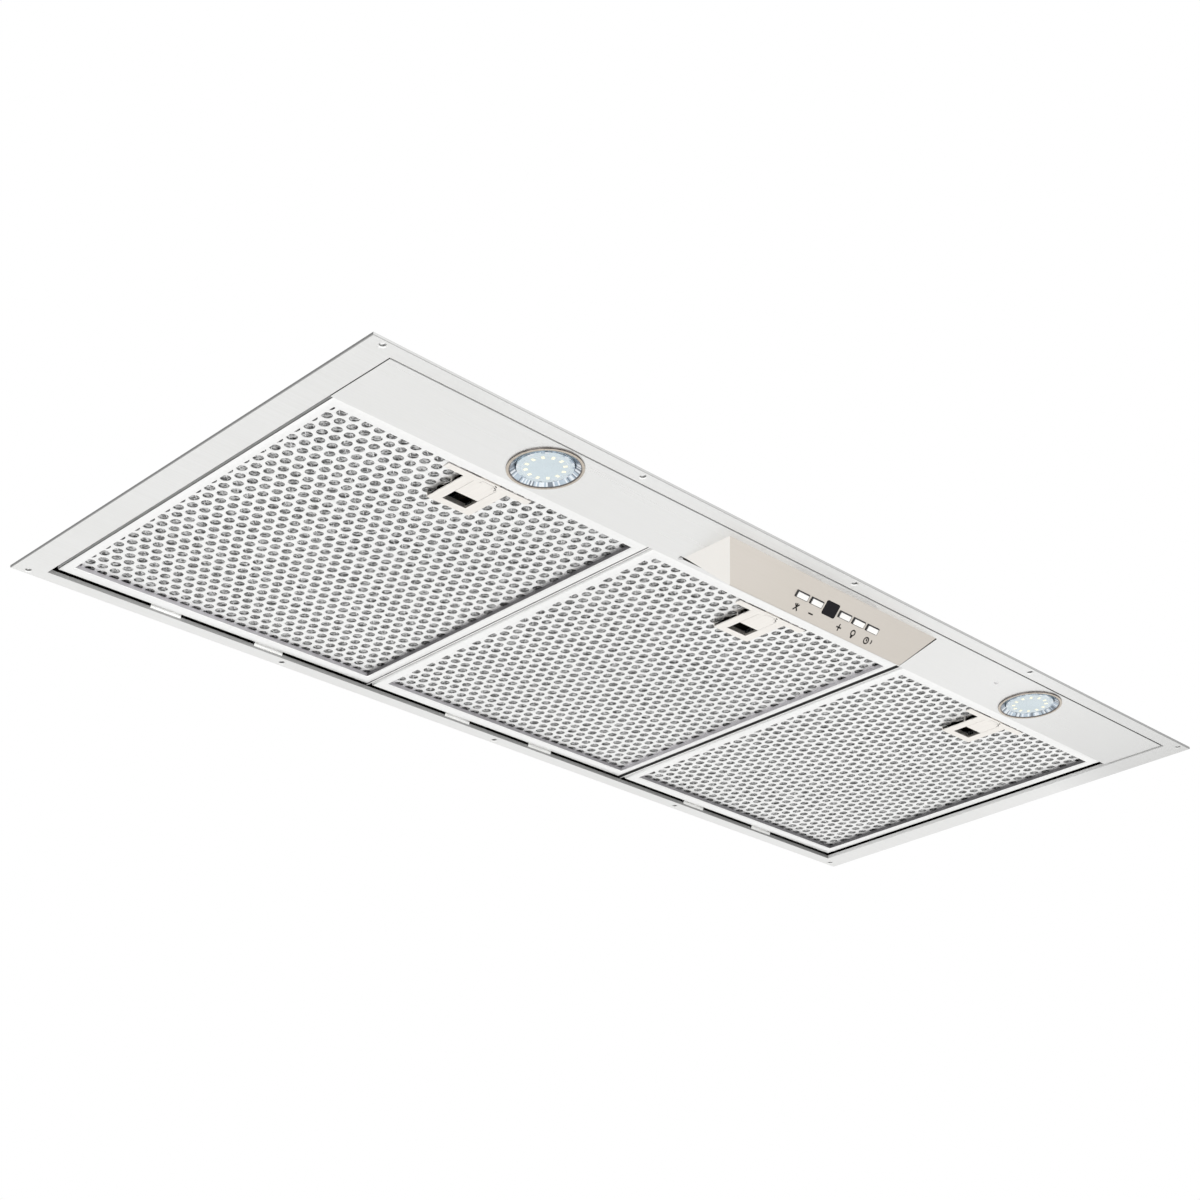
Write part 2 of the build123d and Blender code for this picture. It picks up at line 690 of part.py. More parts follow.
        # guide strap over the slider, which also backs the spring
        for leg in (-1, 1):
            with BuildSketch(Plane.XY.offset(rim_z)):
                with Locations((x + leg * (carrier_width / 2 + slider_gap + strap_leg / 2), strap_y)):
                    Rectangle(strap_leg, 2 * filter_sheet)
            extrude(amount=strap_top - rim_z)
        with BuildSketch(Plane.XY.offset(carrier_top + slider_gap)):
            with Locations((x, strap_y)):
                Rectangle(carrier_width + 2 * slider_gap + strap_leg, filter_sheet)
        extrude(amount=strap_top - carrier_top - slider_gap)
    save(latch_plate, f"latch_plate_{side_name}")

    with BuildPart() as slider:
        with BuildSketch(Plane.XY.offset(rim_z)):
            with Locations((x, latch_front_y)):
                Rectangle(slider_width, finger_front_y - latch_front_y,
                          align=(Align.CENTER, Align.MIN))
                Rectangle(tab_width, tab_length, align=(Align.CENTER, Align.MAX))
        extrude(amount=tongue_z - rim_z)
        with BuildSketch(Plane.XY.offset(tongue_z)):
            with Locations((x, carrier_front_y)):
                Rectangle(carrier_width, finger_rear_y + filter_sheet - carrier_front_y,
                          align=(Align.CENTER, Align.MIN))
            with Locations((x, finger_front_y)):
                Rectangle(slider_width, finger_length, align=(Align.CENTER, Align.MIN),
                          mode=Mode.SUBTRACT)
            with Locations((x, tongue_tip_y)):
                Rectangle(tongue_width, carrier_front_y + filter_sheet - tongue_tip_y,
                          align=(Align.CENTER, Align.MIN))
        extrude(amount=filter_sheet)
        # wall that the finger pulls
        with BuildSketch(Plane.XY.offset(tongue_z)):
            with Locations((x, finger_rear_y)):
                Rectangle(slider_width, filter_sheet, align=(Align.CENTER, Align.MIN))
        extrude(amount=skin_z - slider_gap - tongue_z)
        # tab that the spring pushes
        with BuildSketch(Plane.XY.offset(tongue_z)):
            with Locations((x, carrier_front_y)):
                Rectangle(4 * spring_radius, filter_sheet, align=(Align.CENTER, Align.MIN))
        extrude(amount=spring_z + spring_radius - tongue_z)
    save(slider, f"latch_slider_{side_name}")

    spring_start = carrier_front_y + filter_sheet + spring_gap
    spring_end = strap_y - filter_sheet / 2 - spring_gap
    with BuildPart() as spring:
        with BuildSketch(Plane(origin=(x, spring_start, spring_z), x_dir=(1, 0, 0), z_dir=(0, 1, 0))):
            RegularPolygon(spring_radius, 8)
            RegularPolygon(spring_radius - spring_wire, 8, mode=Mode.SUBTRACT)
        extrude(amount=spring_end - spring_start)
    save(spring, f"latch_spring_{side_name}")


for side_name, centre_x in filter_centres.items():
    make_cassette(side_name, centre_x)

# sprung rests on the rear lip, two under the hooks of each cassette
rear_lip_y = opening_depth / 2
with BuildPart() as rest_clips:
    for centre_x in filter_centres.values():
        for hook_side in (-1, 1):
            with BuildSketch(Plane.YZ.offset(centre_x + hook_side * hook_offset - hook_width / 2)):
                with BuildLine():
                    Polyline((rear_lip_y - clip_sheet, face_z + lip_height / 2),
                             (rear_lip_y - clip_reach, crest_z),
                             (rear_lip_y + sheet + clip_sheet, crest_z),
                             (rear_lip_y + sheet + clip_sheet, lip_top - lip_height / 3),
                             (rear_lip_y + sheet, lip_top - lip_height / 3),
                             (rear_lip_y + sheet, crest_z - clip_sheet),
                             (rear_lip_y - clip_reach + clip_bend, crest_z - clip_sheet),
                             (rear_lip_y, face_z + lip_height / 2), close=True)
                make_face()
            extrude(amount=hook_width)
save(rest_clips, "filter_rest_clips")

with BuildPart() as divider_rails:
    rail_x = (filter_width + filter_between_gap) / 2
    rail_start = panel_rear_y
    rail_length = canopy_depth / 2 - sheet - rail_start
    with BuildSketch(Plane.XZ.offset(-rail_start)):
        for side in (-1, 1):
            with Locations((side * rail_x, rim_z + rail_web_lift)):
                Rectangle(rail_web, filter_height - rail_web_lift + rail_gap + sheet,
                          align=(Align.CENTER, Align.MIN))
            with Locations((side * rail_x, filter_top + rail_gap)):
                Rectangle(rail_flange, sheet, align=(Align.CENTER, Align.MIN))
    extrude(amount=-rail_length)
save(divider_rails, "divider_rails")

# ---------------------------------------------------------------- blower
scroll_plane = Plane(origin=(-scroll_half, wheel_y, wheel_z), x_dir=(0, 1, 0), z_dir=(1, 0, 0))
outlet_height = box_top - sheet - wheel_z
half_step = volute_step / 2
first_centre = Vector(-half_step, -half_step)
tongue_way = Vector(cos(radians(volute_start)), sin(radians(volute_start)))
tongue_point = first_centre + tongue_way * volute_radius

with BuildPart() as scroll_housing:
    # four-centre volute: each quarter turn is an arc that is one step larger
    with BuildSketch(scroll_plane):
        with BuildLine():
            CenterArc((first_centre.X, first_centre.Y), volute_radius, volute_start, 180 - volute_start)
            CenterArc((half_step, -half_step), volute_radius + volute_step, 180, 90)
            CenterArc((half_step, half_step), volute_radius + 2 * volute_step, 270, 90)
            Line((outlet_rear, half_step), (outlet_rear, outlet_height))
            Line((outlet_rear, outlet_height), (throat_front, outlet_height))
            Line((throat_front, outlet_height), (tongue_point.X, tongue_point.Y))
        make_face()
    extrude(amount=2 * scroll_half)
    offset(amount=-thin_sheet, openings=scroll_housing.faces().sort_by(Axis.Z)[-1])
    with BuildSketch(scroll_plane):
        Circle(inlet_mouth_radius)
    extrude(amount=2 * scroll_half, mode=Mode.SUBTRACT)
save(scroll_housing, "scroll_housing")

wheel_section = Plane(origin=(0, wheel_y, wheel_z), x_dir=(1, 0, 0), z_dir=(0, -1, 0))
wheel_axis = Axis((0, wheel_y, wheel_z), (1, 0, 0))
mouth_rise = inlet_mouth_radius - inlet_radius


def mouth_points(side, width, rise):
    """Points along a quarter of an ellipse, from the scroll's side into the wheel."""
    centre_x = side * (scroll_half + thin_sheet - inlet_depth)
    turns = [radians(90) * step / inlet_steps for step in range(inlet_steps + 1)]
    return [(centre_x + side * width * cos(turn), inlet_mouth_radius - rise * sin(turn)) for turn in turns]


for side_name, side in (("left", -1), ("right", 1)):
    with BuildPart() as inlet_ring:
        with BuildSketch(wheel_section):
            with BuildLine():
                Polyline(*mouth_points(side, inlet_depth, mouth_rise),
                         *reversed(mouth_points(side, inlet_depth - thin_sheet, mouth_rise - thin_sheet)),
                         close=True)
            make_face()
            with Locations((side * (scroll_half + thin_sheet / 2), inlet_mouth_radius)):
                Rectangle(thin_sheet, inlet_lap, align=(Align.CENTER, Align.MIN))
        revolve(axis=wheel_axis)
    save(inlet_ring, f"inlet_ring_{side_name}")

wheel_plane = Plane(origin=(0, wheel_y, wheel_z), x_dir=(0, 1, 0), z_dir=(1, 0, 0))
with BuildSketch() as blade_section:
    with BuildLine():
        root = Vector(blade_inner_radius, 0)
        tip = Vector(wheel_radius - wheel_ring / 2, 0).rotate(Axis.Z, blade_lean)
        belly = (root + tip) / 2 - Vector(0, blade_bow)
        back = Vector(0, blade_thickness)
        Polyline(root, belly, tip, tip + back, belly + back, root + back, close=True)
    make_face()

with BuildPart() as impeller:
    with BuildSketch(wheel_plane.offset(-wheel_width / 2)):
        with PolarLocations(0, blade_count):
            add(blade_section.sketch)
    extrude(amount=wheel_width)
    # end rings and the disc in the middle, which carries the hub
    with BuildSketch(wheel_plane.offset(-wheel_width / 2), wheel_plane.offset(wheel_width / 2 - wheel_ring)):
        Circle(wheel_radius)
        Circle(wheel_radius - wheel_ring_width, mode=Mode.SUBTRACT)
    extrude(amount=wheel_ring)
    with BuildSketch(wheel_plane.offset(-wheel_disc / 2)):
        Circle(wheel_radius)
    extrude(amount=wheel_disc)
    with BuildSketch(wheel_plane.offset(hub_end - hub_length)):
        Circle(hub_radius)
    extrude(amount=hub_length)
    with BuildSketch(wheel_plane.offset(hub_end)):
        Circle(shaft_radius + shaft_fit)
    extrude(amount=-hub_length, mode=Mode.SUBTRACT)
save(impeller, "impeller")

motor_front = wheel_disc / 2 + motor_gap
with BuildPart() as motor_shaft:
    with BuildSketch(wheel_plane.offset(-shaft_out)):
        Circle(shaft_radius)
    extrude(amount=shaft_out + motor_front + shaft_in)
    chamfer(motor_shaft.edges().filter_by(GeomType.CIRCLE), shaft_radius / 8)
save(motor_shaft, "motor_shaft")

with BuildPart() as motor:
    with BuildSketch(wheel_plane.offset(motor_front)):
        Circle(motor_radius)
    extrude(amount=motor_length)
    chamfer(motor.edges().filter_by(GeomType.CIRCLE), motor_corner)
    with BuildSketch(wheel_plane.offset(motor_front)):
        Circle(shaft_radius + shaft_fit)
    extrude(amount=shaft_in + shaft_end_gap, mode=Mode.SUBTRACT)
save(motor, "motor")

# the motor's rear face is screwed to a three-armed bracket on the right side of the scroll
motor_rear = motor_front + motor_length
with BuildPart() as motor_bracket:
    with BuildSketch(wheel_plane.offset(motor_rear)):
        Circle(motor_radius - motor_corner)
        with PolarLocations(0, 3, start_angle=90):
            Rectangle(bracket_post_circle, bracket_arm, align=(Align.MIN, Align.CENTER))
        with PolarLocations(bracket_post_circle, 3, start_angle=90):
            Circle(bracket_arm / 2)
        Circle(motor_radius / 3, mode=Mode.SUBTRACT)
    extrude(amount=bracket_sheet)
    with BuildSketch(wheel_plane.offset(scroll_half)):
        with PolarLocations(bracket_post_circle, 3, start_angle=90):
            RegularPolygon(bracket_post_radius, 8)
    extrude(amount=motor_rear - scroll_half)
save(motor_bracket, "motor_bracket")

capacitor_x = box_width / 2 - capacitor_from_end
capacitor_y = -box_depth / 2 + sheet + capacitor_wall_gap + capacitor_radius
capacitor_z = roof_top + capacitor_lift
with BuildPart() as capacitor:
    with BuildSketch(Plane.XY.offset(capacitor_z)):
        with Locations((capacitor_x, capacitor_y)):
            Circle(capacitor_radius)
    extrude(amount=capacitor_height)
    chamfer(capacitor.edges().group_by(Axis.Z)[-1], capacitor_radius / 8)
save(capacitor, "capacitor")

with BuildPart() as capacitor_clamp:
    with BuildSketch(Plane.XY.offset(capacitor_z + capacitor_height / 2)):
        with Locations((capacitor_x, capacitor_y)):
            Circle(capacitor_radius + capacitor_wall_gap + clamp_sheet)
            Rectangle(2 * (capacitor_radius + capacitor_wall_gap + clamp_sheet),
                      capacitor_radius + capacitor_wall_gap, align=(Align.CENTER, Align.MAX))
        with Locations((capacitor_x, -box_depth / 2 + sheet)):
            Rectangle(2 * (capacitor_radius + clamp_foot), clamp_sheet, align=(Align.CENTER, Align.MIN))
        with Locations((capacitor_x, capacitor_y)):
            Circle(capacitor_radius + capacitor_wall_gap, mode=Mode.SUBTRACT)
            Rectangle(2 * (capacitor_radius + capacitor_wall_gap),
                      capacitor_radius + capacitor_wall_gap, align=(Align.CENTER, Align.MAX),
                      mode=Mode.SUBTRACT)
        with Locations((capacitor_x, -box_depth / 2 + sheet)):
            Rectangle(2 * (capacitor_radius + clamp_foot), capacitor_radius,
                      align=(Align.CENTER, Align.MAX), mode=Mode.SUBTRACT)
    extrude(amount=clamp_width, both=True)
save(capacitor_clamp, "capacitor_clamp")

# ---------------------------------------------------------------- outlet and dampers
foot_top = box_top + sheet
pin_z = foot_top + seat_height + seat_thickness + flap_gap + flap_sheet / 2
collar_inner = collar_radius - collar_wall
with BuildPart() as outlet_collar:
    with BuildSketch(Plane.XY.offset(box_top)):
        with Locations((0, outlet_y)):
            Circle(collar_radius + collar_foot)
            Circle(collar_inner, mode=Mode.SUBTRACT)
    extrude(amount=sheet)
    with BuildSketch(Plane.XY.offset(box_top)):
        with Locations((0, outlet_y)):
            Circle(collar_radius)
            Circle(collar_inner, mode=Mode.SUBTRACT)
    extrude(amount=collar_height)
    # seat of the damper flaps
    with BuildSketch(Plane.XY.offset(foot_top + seat_height)):
        with Locations((0, outlet_y)):
            Circle(collar_inner + collar_wall / 2)
            Circle(collar_inner - seat_width, mode=Mode.SUBTRACT)
    extrude(amount=seat_thickness)
    with Locations(Plane(origin=(0, outlet_y, pin_z), z_dir=(0, 1, 0))):
        Hole(pin_radius + pin_fit)
save(outlet_collar, "outlet_collar")

pin_plane = Plane(origin=(0, outlet_y, pin_z), x_dir=(1, 0, 0), z_dir=(0, 1, 0))
with BuildPart() as damper_pin:
    with BuildSketch(pin_plane.offset(-collar_radius + pin_fit)):
        Circle(pin_radius)
    extrude(amount=2 * (collar_radius - pin_fit))
save(damper_pin, "damper_pin")

knuckle_radius = pin_radius + pin_fit + knuckle_wall
flap_start = knuckle_radius + knuckle_clear
for side_name, side, knuckle_place in (("left", -1, knuckle_near), ("right", 1, knuckle_far)):
    with BuildPart() as damper_flap:
        with BuildSketch(Plane.XY.offset(pin_z - flap_sheet / 2)):
            with Locations((0, outlet_y)):
                Circle(collar_inner - flap_edge_gap)
            with Locations((side * flap_start, outlet_y)):
                Rectangle(2 * collar_radius, 2 * collar_radius, mode=Mode.SUBTRACT,
                          align=(Align.MAX if side > 0 else Align.MIN, Align.CENTER))
            with Locations((0, outlet_y - knuckle_place), (0, outlet_y + knuckle_place)):
                Rectangle(flap_start + flap_lap, knuckle_length,
                          align=(Align.MIN if side > 0 else Align.MAX, Align.CENTER))
        extrude(amount=flap_sheet)
        with BuildSketch(pin_plane.offset(-knuckle_place - knuckle_length / 2),
                         pin_plane.offset(knuckle_place - knuckle_length / 2)):
            Circle(knuckle_radius)
        extrude(amount=knuckle_length)
        with BuildSketch(pin_plane.offset(-collar_radius)):
            Circle(pin_radius + pin_fit)
        extrude(amount=2 * collar_radius, mode=Mode.SUBTRACT)
    save(damper_flap, f"damper_flap_{side_name}")

# ---------------------------------------------------------------- junction box
junction_x = box_width / 2
with BuildPart() as junction_box:
    with BuildSketch(Plane.YZ.offset(junction_x)):
        with Locations((0, junction_z + junction_height / 2)):
            Rectangle(junction_width, junction_height)
    extrude(amount=junction_depth)
    offset(amount=-sheet, openings=junction_box.faces().sort_by(Axis.X)[-1])
    with Locations(Plane(origin=(junction_x, 0, wire_hole_z), z_dir=(1, 0, 0))):
        Hole(gland_radius, depth=2 * sheet)
    with Locations((junction_x + junction_depth / 2, 0, junction_z + junction_height)):
        Hole(gland_radius, depth=2 * sheet)
save(junction_box, "junction_box")

with BuildPart() as junction_cover:
    with BuildSketch(Plane.YZ.offset(junction_x + junction_depth)):
        with Locations((0, junction_z + junction_height / 2)):
            Rectangle(junction_width, junction_height)
    extrude(amount=sheet)
    chamfer(junction_cover.faces().sort_by(Axis.X)[-1].edges(), sheet / 3)
save(junction_cover, "junction_cover")

junction_top = junction_z + junction_height
with BuildPart() as cable_gland:
    with BuildSketch(Plane.XY.offset(junction_top - gland_length / 2)):
        with Locations((junction_x + junction_depth / 2, 0)):
            Circle(gland_radius - gland_fit)
    extrude(amount=gland_length)
    # collar outside, nut inside
    nut_floor = junction_top - sheet - gland_nut_height
    with BuildSketch(Plane.XY.offset(junction_top), Plane.XY.offset(nut_floor)):
        with Locations((junction_x + junction_depth / 2, 0)):
            RegularPolygon(gland_nut_radius, 6)
    extrude(amount=gland_nut_height)
    with Locations((junction_x + junction_depth / 2, 0, junction_top + gland_length / 2)):
        Hole(gland_bore)
save(cable_gland, "cable_gland")

# ---------------------------------------------------------------- screws of the body
with BuildPart() as body_screws:
    # blower box on the canopy
    with BuildSketch(Plane.XY.offset(roof_top + sheet)):
        with GridLocations(box_width + roof_rim, box_depth / 2, 2, 2):
            RegularPolygon(screw_head_radius, 8)
        with GridLocations(box_width / 2, box_depth + roof_rim, 2, 2):
            RegularPolygon(screw_head_radius, 8)
    extrude(amount=screw_head_height)
    # collar on the blower box
    with BuildSketch(Plane.XY.offset(foot_top)):
        with Locations((0, outlet_y)):
            with PolarLocations(collar_radius + collar_foot / 2, 6, start_angle=30):
                RegularPolygon(screw_head_radius, 8)
    extrude(amount=screw_head_height)
    # motor bracket on its posts
    with BuildSketch(wheel_plane.offset(motor_rear + bracket_sheet)):
        with PolarLocations(bracket_post_circle, 3, start_angle=90):
            RegularPolygon(screw_head_radius, 8)
    extrude(amount=screw_head_height)
    # cover of the junction box
    with BuildSketch(Plane.YZ.offset(junction_x + junction_depth + sheet)):
        with Locations((0, junction_z + junction_height / 2)):
            with GridLocations(junction_width - 2 * junction_lid_edge,
                               junction_height - 2 * junction_lid_edge, 2, 2):
                RegularPolygon(screw_head_radius, 8)
    extrude(amount=screw_head_height)
save(body_screws, "body_screws")
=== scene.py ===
import math
import random

import bmesh
import bpy
from mathutils import Matrix, Vector, noise


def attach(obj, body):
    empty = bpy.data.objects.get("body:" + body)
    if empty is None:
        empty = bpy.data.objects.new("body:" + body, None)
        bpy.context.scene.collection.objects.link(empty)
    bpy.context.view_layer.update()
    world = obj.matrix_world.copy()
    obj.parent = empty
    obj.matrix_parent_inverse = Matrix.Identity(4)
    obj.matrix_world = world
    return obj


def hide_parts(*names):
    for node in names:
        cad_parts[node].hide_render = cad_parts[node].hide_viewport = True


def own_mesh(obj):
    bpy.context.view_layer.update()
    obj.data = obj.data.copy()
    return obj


# Range hood insert, seen from below as it hangs in its cabinet. Pieces are in mm and are turned
# into metres where a mesh is made, and materials measure in metres. X runs along the front,
# +Y to the rear and +Z up, and z = 0 is where the flange meets the cabinet.
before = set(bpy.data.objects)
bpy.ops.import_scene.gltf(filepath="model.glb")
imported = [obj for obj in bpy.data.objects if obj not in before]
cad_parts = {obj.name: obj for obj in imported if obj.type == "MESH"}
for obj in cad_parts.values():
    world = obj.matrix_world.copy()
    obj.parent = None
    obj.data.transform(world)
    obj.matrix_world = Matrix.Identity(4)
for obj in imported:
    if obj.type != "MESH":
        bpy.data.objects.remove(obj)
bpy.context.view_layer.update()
scene = bpy.context.scene
rng = random.Random(11)

MM = 0.001
SIDES = {"left": -369.3, "middle": -1.9, "right": 366.9}  # the cassettes' middles along X
EVEN = (1, 1, 1)  # a texture that isn't stretched
# black for print on the keys and latches, and for painted shadow at the wedge
SHADOW_AND_INK_BLACK = (0.02, 0.018, 0.016)

# where the shading of a sheet changes: places in metres, or parts of a surface normal
LENGTH_X = (-0.585, 0.585)
FRONT_HEM_Y = (-0.25, -0.24)
FAR_RIGHT_X = (0.50, 0.51)
MIDDLE_X = 0.1  # the middle cassette's right inner wall stands within MIDDLE_REACH of it
MIDDLE_REACH = (0.09, 0.10)
MIDDLE_Z = (0.0006, 0.0016)
BEVEL_X = (0.5828, 0.5832)
BEVEL_Y = (0.2508, 0.2510)
CORNER_X = (0.30, 0.58)
CORNER_Y = (-0.17, -0.08)
WALL_TO_LEVEL = (0.5, 0.6)
SLOPED_TO_FLAT = (0.90, 0.94)
TO_SIDEWAYS = (0.5, 0.6)
TO_WEDGE_END = (0.3, 0.5)
WEDGE_SHADOW_LINE_X = (0.1526, 0.1530)


# ---------------------------------------------------------------- materials
def shader(name, colour, rough, metal=0.0, **sockets):
    """A material with one Principled shader and its constant values."""
    mat = bpy.data.materials.new(name)
    mat.use_nodes = True
    bsdf = mat.node_tree.nodes["Principled BSDF"]
    bsdf.inputs["Base Color"].default_value = (*colour, 1)
    bsdf.inputs["Roughness"].default_value = rough
    bsdf.inputs["Metallic"].default_value = metal
    for socket, value in sockets.items():
        bsdf.inputs[socket.replace("_", " ")].default_value = value
    return mat


def node(mat, kind, inputs=(), **settings):
    """A node whose inputs are given by name or number, as values or as links."""
    made = mat.node_tree.nodes.new(kind)
    for key, value in settings.items():
        setattr(made, key, value)
    for key, value in dict(inputs).items():
        if isinstance(value, bpy.types.NodeSocket):
            mat.node_tree.links.new(value, made.inputs[key])
        else:
            made.inputs[key].default_value = value
    return made


def join(mat, output, socket):
    mat.node_tree.links.new(output, mat.node_tree.nodes["Principled BSDF"].inputs[socket])


def maths(mat, operation, first, second=0.5):
    return node(mat, "ShaderNodeMath", {0: first, 1: second}, operation=operation).outputs[0]


def base_colour(mat):
    """What colours the shader now."""
    return mat.node_tree.nodes["Principled BSDF"].inputs["Base Color"].links[0].from_socket


def normal_parts(mat):
    facing = node(mat, "ShaderNodeNewGeometry")
    return node(mat, "ShaderNodeSeparateXYZ", {0: facing.outputs["Normal"]}).outputs


def place_parts(mat):
    place = node(mat, "ShaderNodeTexCoord")
    return node(mat, "ShaderNodeSeparateXYZ", {0: place.outputs["Object"]}).outputs


def grain(mat, stretch, scale, detail):
    """Noise in the object's own coordinates, stretched along the way of the brushing."""
    place = node(mat, "ShaderNodeTexCoord")
    stretched = node(mat, "ShaderNodeMapping",
                     {"Vector": place.outputs["Object"], "Scale": stretch})
    return node(mat, "ShaderNodeTexNoise",
                {"Vector": stretched.outputs[0], "Scale": scale, "Detail": detail}).outputs[0]


def between(mat, factor, low, high, start=0.3, end=0.7):
    """A value that runs from low to high as a noise runs from start to end."""
    ranged = node(mat, "ShaderNodeMapRange", {0: factor, 1: start, 2: end, 3: low, 4: high})
    return ranged.outputs[0]


def mixed_value(mat, factor, low, high):
    """A value that runs from low to high as the factor runs from 0 to 1."""
    return node(mat, "ShaderNodeMix", {0: factor, 2: low, 3: high}).outputs[0]


def mixed_colour(mat, factor, first, second, **settings):
    """A mix of two colours, each a link or a constant of three numbers."""
    first, second = ((*c, 1) if isinstance(c, tuple) else c for c in (first, second))
    return node(mat, "ShaderNodeMix", {"Factor": factor, 6: first, 7: second},
                data_type="RGBA", **settings).outputs[2]


def tint(mat, factor, dark, light, start=0.3, end=0.7):
    """A colour that runs from dark to light as a noise runs from start to end."""
    return mixed_colour(mat, between(mat, factor, 0.0, 1.0, start, end), dark, light)


def bump(mat, height, strength, distance):
    return node(mat, "ShaderNodeBump",
                {"Height": height, "Strength": strength, "Distance": distance}).outputs[0]


def brushed(name, light, dark, rough, stretch=(4, 700, 700), strength=0.05):
    """Brushed stainless steel: fine streaks in colour, gloss and relief, and wide soft clouds."""
    mat = shader(name, light, rough, 1.0)
    streaks = grain(mat, stretch, 1.0, 4.0)
    clouds = grain(mat, (5, 5, 5), 1.0, 2.0)
    half = maths(mat, "MULTIPLY", maths(mat, "ADD", streaks, clouds), 0.5)
    join(mat, tint(mat, half, dark, light, 0.38, 0.6), "Base Color")
    join(mat, between(mat, streaks, rough - 0.05, rough + 0.07), "Roughness")
    join(mat, bump(mat, streaks, strength, 0.0003), "Normal")
    return mat


def shade_walls(mat, side, left, right, cone=1.0, front=1.0, far_side=None, middle=None, tip=1.0):
    """Painted shade on the walls of a sheet: a dull darker face, as shares of its colour, with
    painted light where a share is near or above one.

    side, far_side: walls that face the sides, and those of them at the far right
    left, right, front: the other walls, from the left to the right, and a factor in front
    middle: the right inner wall of the middle cassette
    cone: painted shade on the bevel of the outer edge, which is darker than the countersinks
    tip: painted shade on the front right corner, which turns away from the light"""
    colour, normal, spot = base_colour(mat), normal_parts(mat), place_parts(mat)
    upright = maths(mat, "ABSOLUTE", normal["Z"])
    across = maths(mat, "ABSOLUTE", normal["X"])
    ends = maths(mat, "MULTIPLY", between(mat, spot["X"], left, right, *LENGTH_X),
                 between(mat, spot["Y"], front, 1.0, *FRONT_HEM_Y))
    far = side if far_side is None else far_side
    share = between(mat, spot["X"], side, far, *FAR_RIGHT_X)
    if middle is not None:
        reach = maths(mat, "ABSOLUTE", maths(mat, "SUBTRACT", spot["X"], MIDDLE_X))
        deep = between(mat, spot["Z"], side, middle, *MIDDLE_Z)
        share = mixed_value(mat, between(mat, reach, 0.0, 1.0, *MIDDLE_REACH), deep, share)
    wall = mixed_value(mat, between(mat, across, 0.0, 1.0, *TO_SIDEWAYS), ends, share)
    out_x = maths(mat, "ABSOLUTE", spot["X"])
    out_y = maths(mat, "ABSOLUTE", spot["Y"])
    bevel = maths(mat, "MINIMUM", between(mat, out_x, 1.0, cone, *BEVEL_X),
                  between(mat, out_y, 1.0, cone, *BEVEL_Y))
    flat = mixed_value(mat, between(mat, upright, 0.0, 1.0, *SLOPED_TO_FLAT), bevel, 1.0)
    sheet_part = between(mat, upright, 0.0, 1.0, *WALL_TO_LEVEL)
    level = mixed_value(mat, sheet_part, wall, flat)
    if tip < 1.0:
        corner = maths(mat, "MULTIPLY", between(mat, spot["X"], 0.0, 1.0, *CORNER_X),
                       between(mat, spot["Y"], 1.0, 0.0, *CORNER_Y))
        level = maths(mat, "MULTIPLY", level, mixed_value(mat, corner, 1.0, tip))
    join(mat, mixed_colour(mat, 1.0, colour, level, blend_type="MULTIPLY"), "Base Color")
    join(mat, sheet_part, "Metallic")


def speckled(name, light, dark, rough, scale):
    """Crumpled bright metal: light and dark flecks with their relief."""
    mat = shader(name, light, rough, 1.0)
    flecks = grain(mat, EVEN, scale, 2.0)
    join(mat, tint(mat, flecks, dark, light, 0.43, 0.58), "Base Color")
    join(mat, between(mat, flecks, rough - 0.1, rough + 0.1), "Roughness")
    join(mat, bump(mat, flecks, 0.4, 0.0008), "Normal")
    return mat


def wedge_light_and_shadow(mat, pale):
    """Painted light on the wedge's end faces, which are paler, and a painted shadow: a black line
    along the right end of its front slope.
    """
    colour, normal, spot = base_colour(mat), normal_parts(mat), place_parts(mat)
    across = maths(mat, "ABSOLUTE", normal["X"])
    paler = mixed_colour(mat, between(mat, across, 0.0, 1.0, *TO_WEDGE_END), colour, pale)
    # the end plane is where x - z is constant; the painted shadow line is wider at the panel than
    # at the ridge
    reach = maths(mat, "SUBTRACT", spot["X"], maths(mat, "MULTIPLY", spot["Z"], 0.95))
    painted_shadow = maths(mat, "MULTIPLY", between(mat, reach, 0.0, 1.0, *WEDGE_SHADOW_LINE_X),
                 between(mat, across, 1.0, 0.0, *TO_WEDGE_END))
    join(mat, mixed_colour(mat, painted_shadow, paler, SHADOW_AND_INK_BLACK), "Base Color")


def painted_shade_inside(mat, dark):
    """Painted shade: a dark inside for a shell that stands round the origin."""
    colour = base_colour(mat)
    facing = node(mat, "ShaderNodeNewGeometry")
    place = node(mat, "ShaderNodeTexCoord")
    flat = node(mat, "ShaderNodeVectorMath", {0: place.outputs["Object"], 1: (1.0, 1.0, 0.0)},
                operation="MULTIPLY").outputs[0]
    outward = node(mat, "ShaderNodeVectorMath", {0: facing.outputs["Normal"], 1: flat},
                   operation="DOT_PRODUCT").outputs["Value"]
    inward = between(mat, outward, 1.0, 0.0, -0.02, 0.0)
    join(mat, mixed_colour(mat, inward, colour, dark), "Base Color")


def painted_shade_below(mat, light, dark):
    """Painted shade: brown dark flecks on the faces that look down."""
    colour, normal = base_colour(mat), normal_parts(mat)
    flecks = tint(mat, grain(mat, EVEN, 260.0, 2.0), dark, light, 0.5, 0.68)
    down = between(mat, normal["Z"], 1.0, 0.0, -0.6, -0.4)
    join(mat, mixed_colour(mat, down, colour, flecks), "Base Color")


def moulded(name, colour, rough, fine=2500.0, strength=0.06, **sockets):
    """Moulded or painted surface with a fine texture and slight changes of tone."""
    mat = shader(name, colour, rough, **sockets)
    texture = grain(mat, EVEN, fine, 2.0)
    tones = grain(mat, EVEN, 40.0, 2.0)
    darker = tuple(0.93 * c for c in colour)
    join(mat, tint(mat, tones, darker, colour), "Base Color")
    join(mat, between(mat, texture, rough - 0.03, rough + 0.05), "Roughness")
    join(mat, bump(mat, texture, strength, 0.0001), "Normal")
    return mat


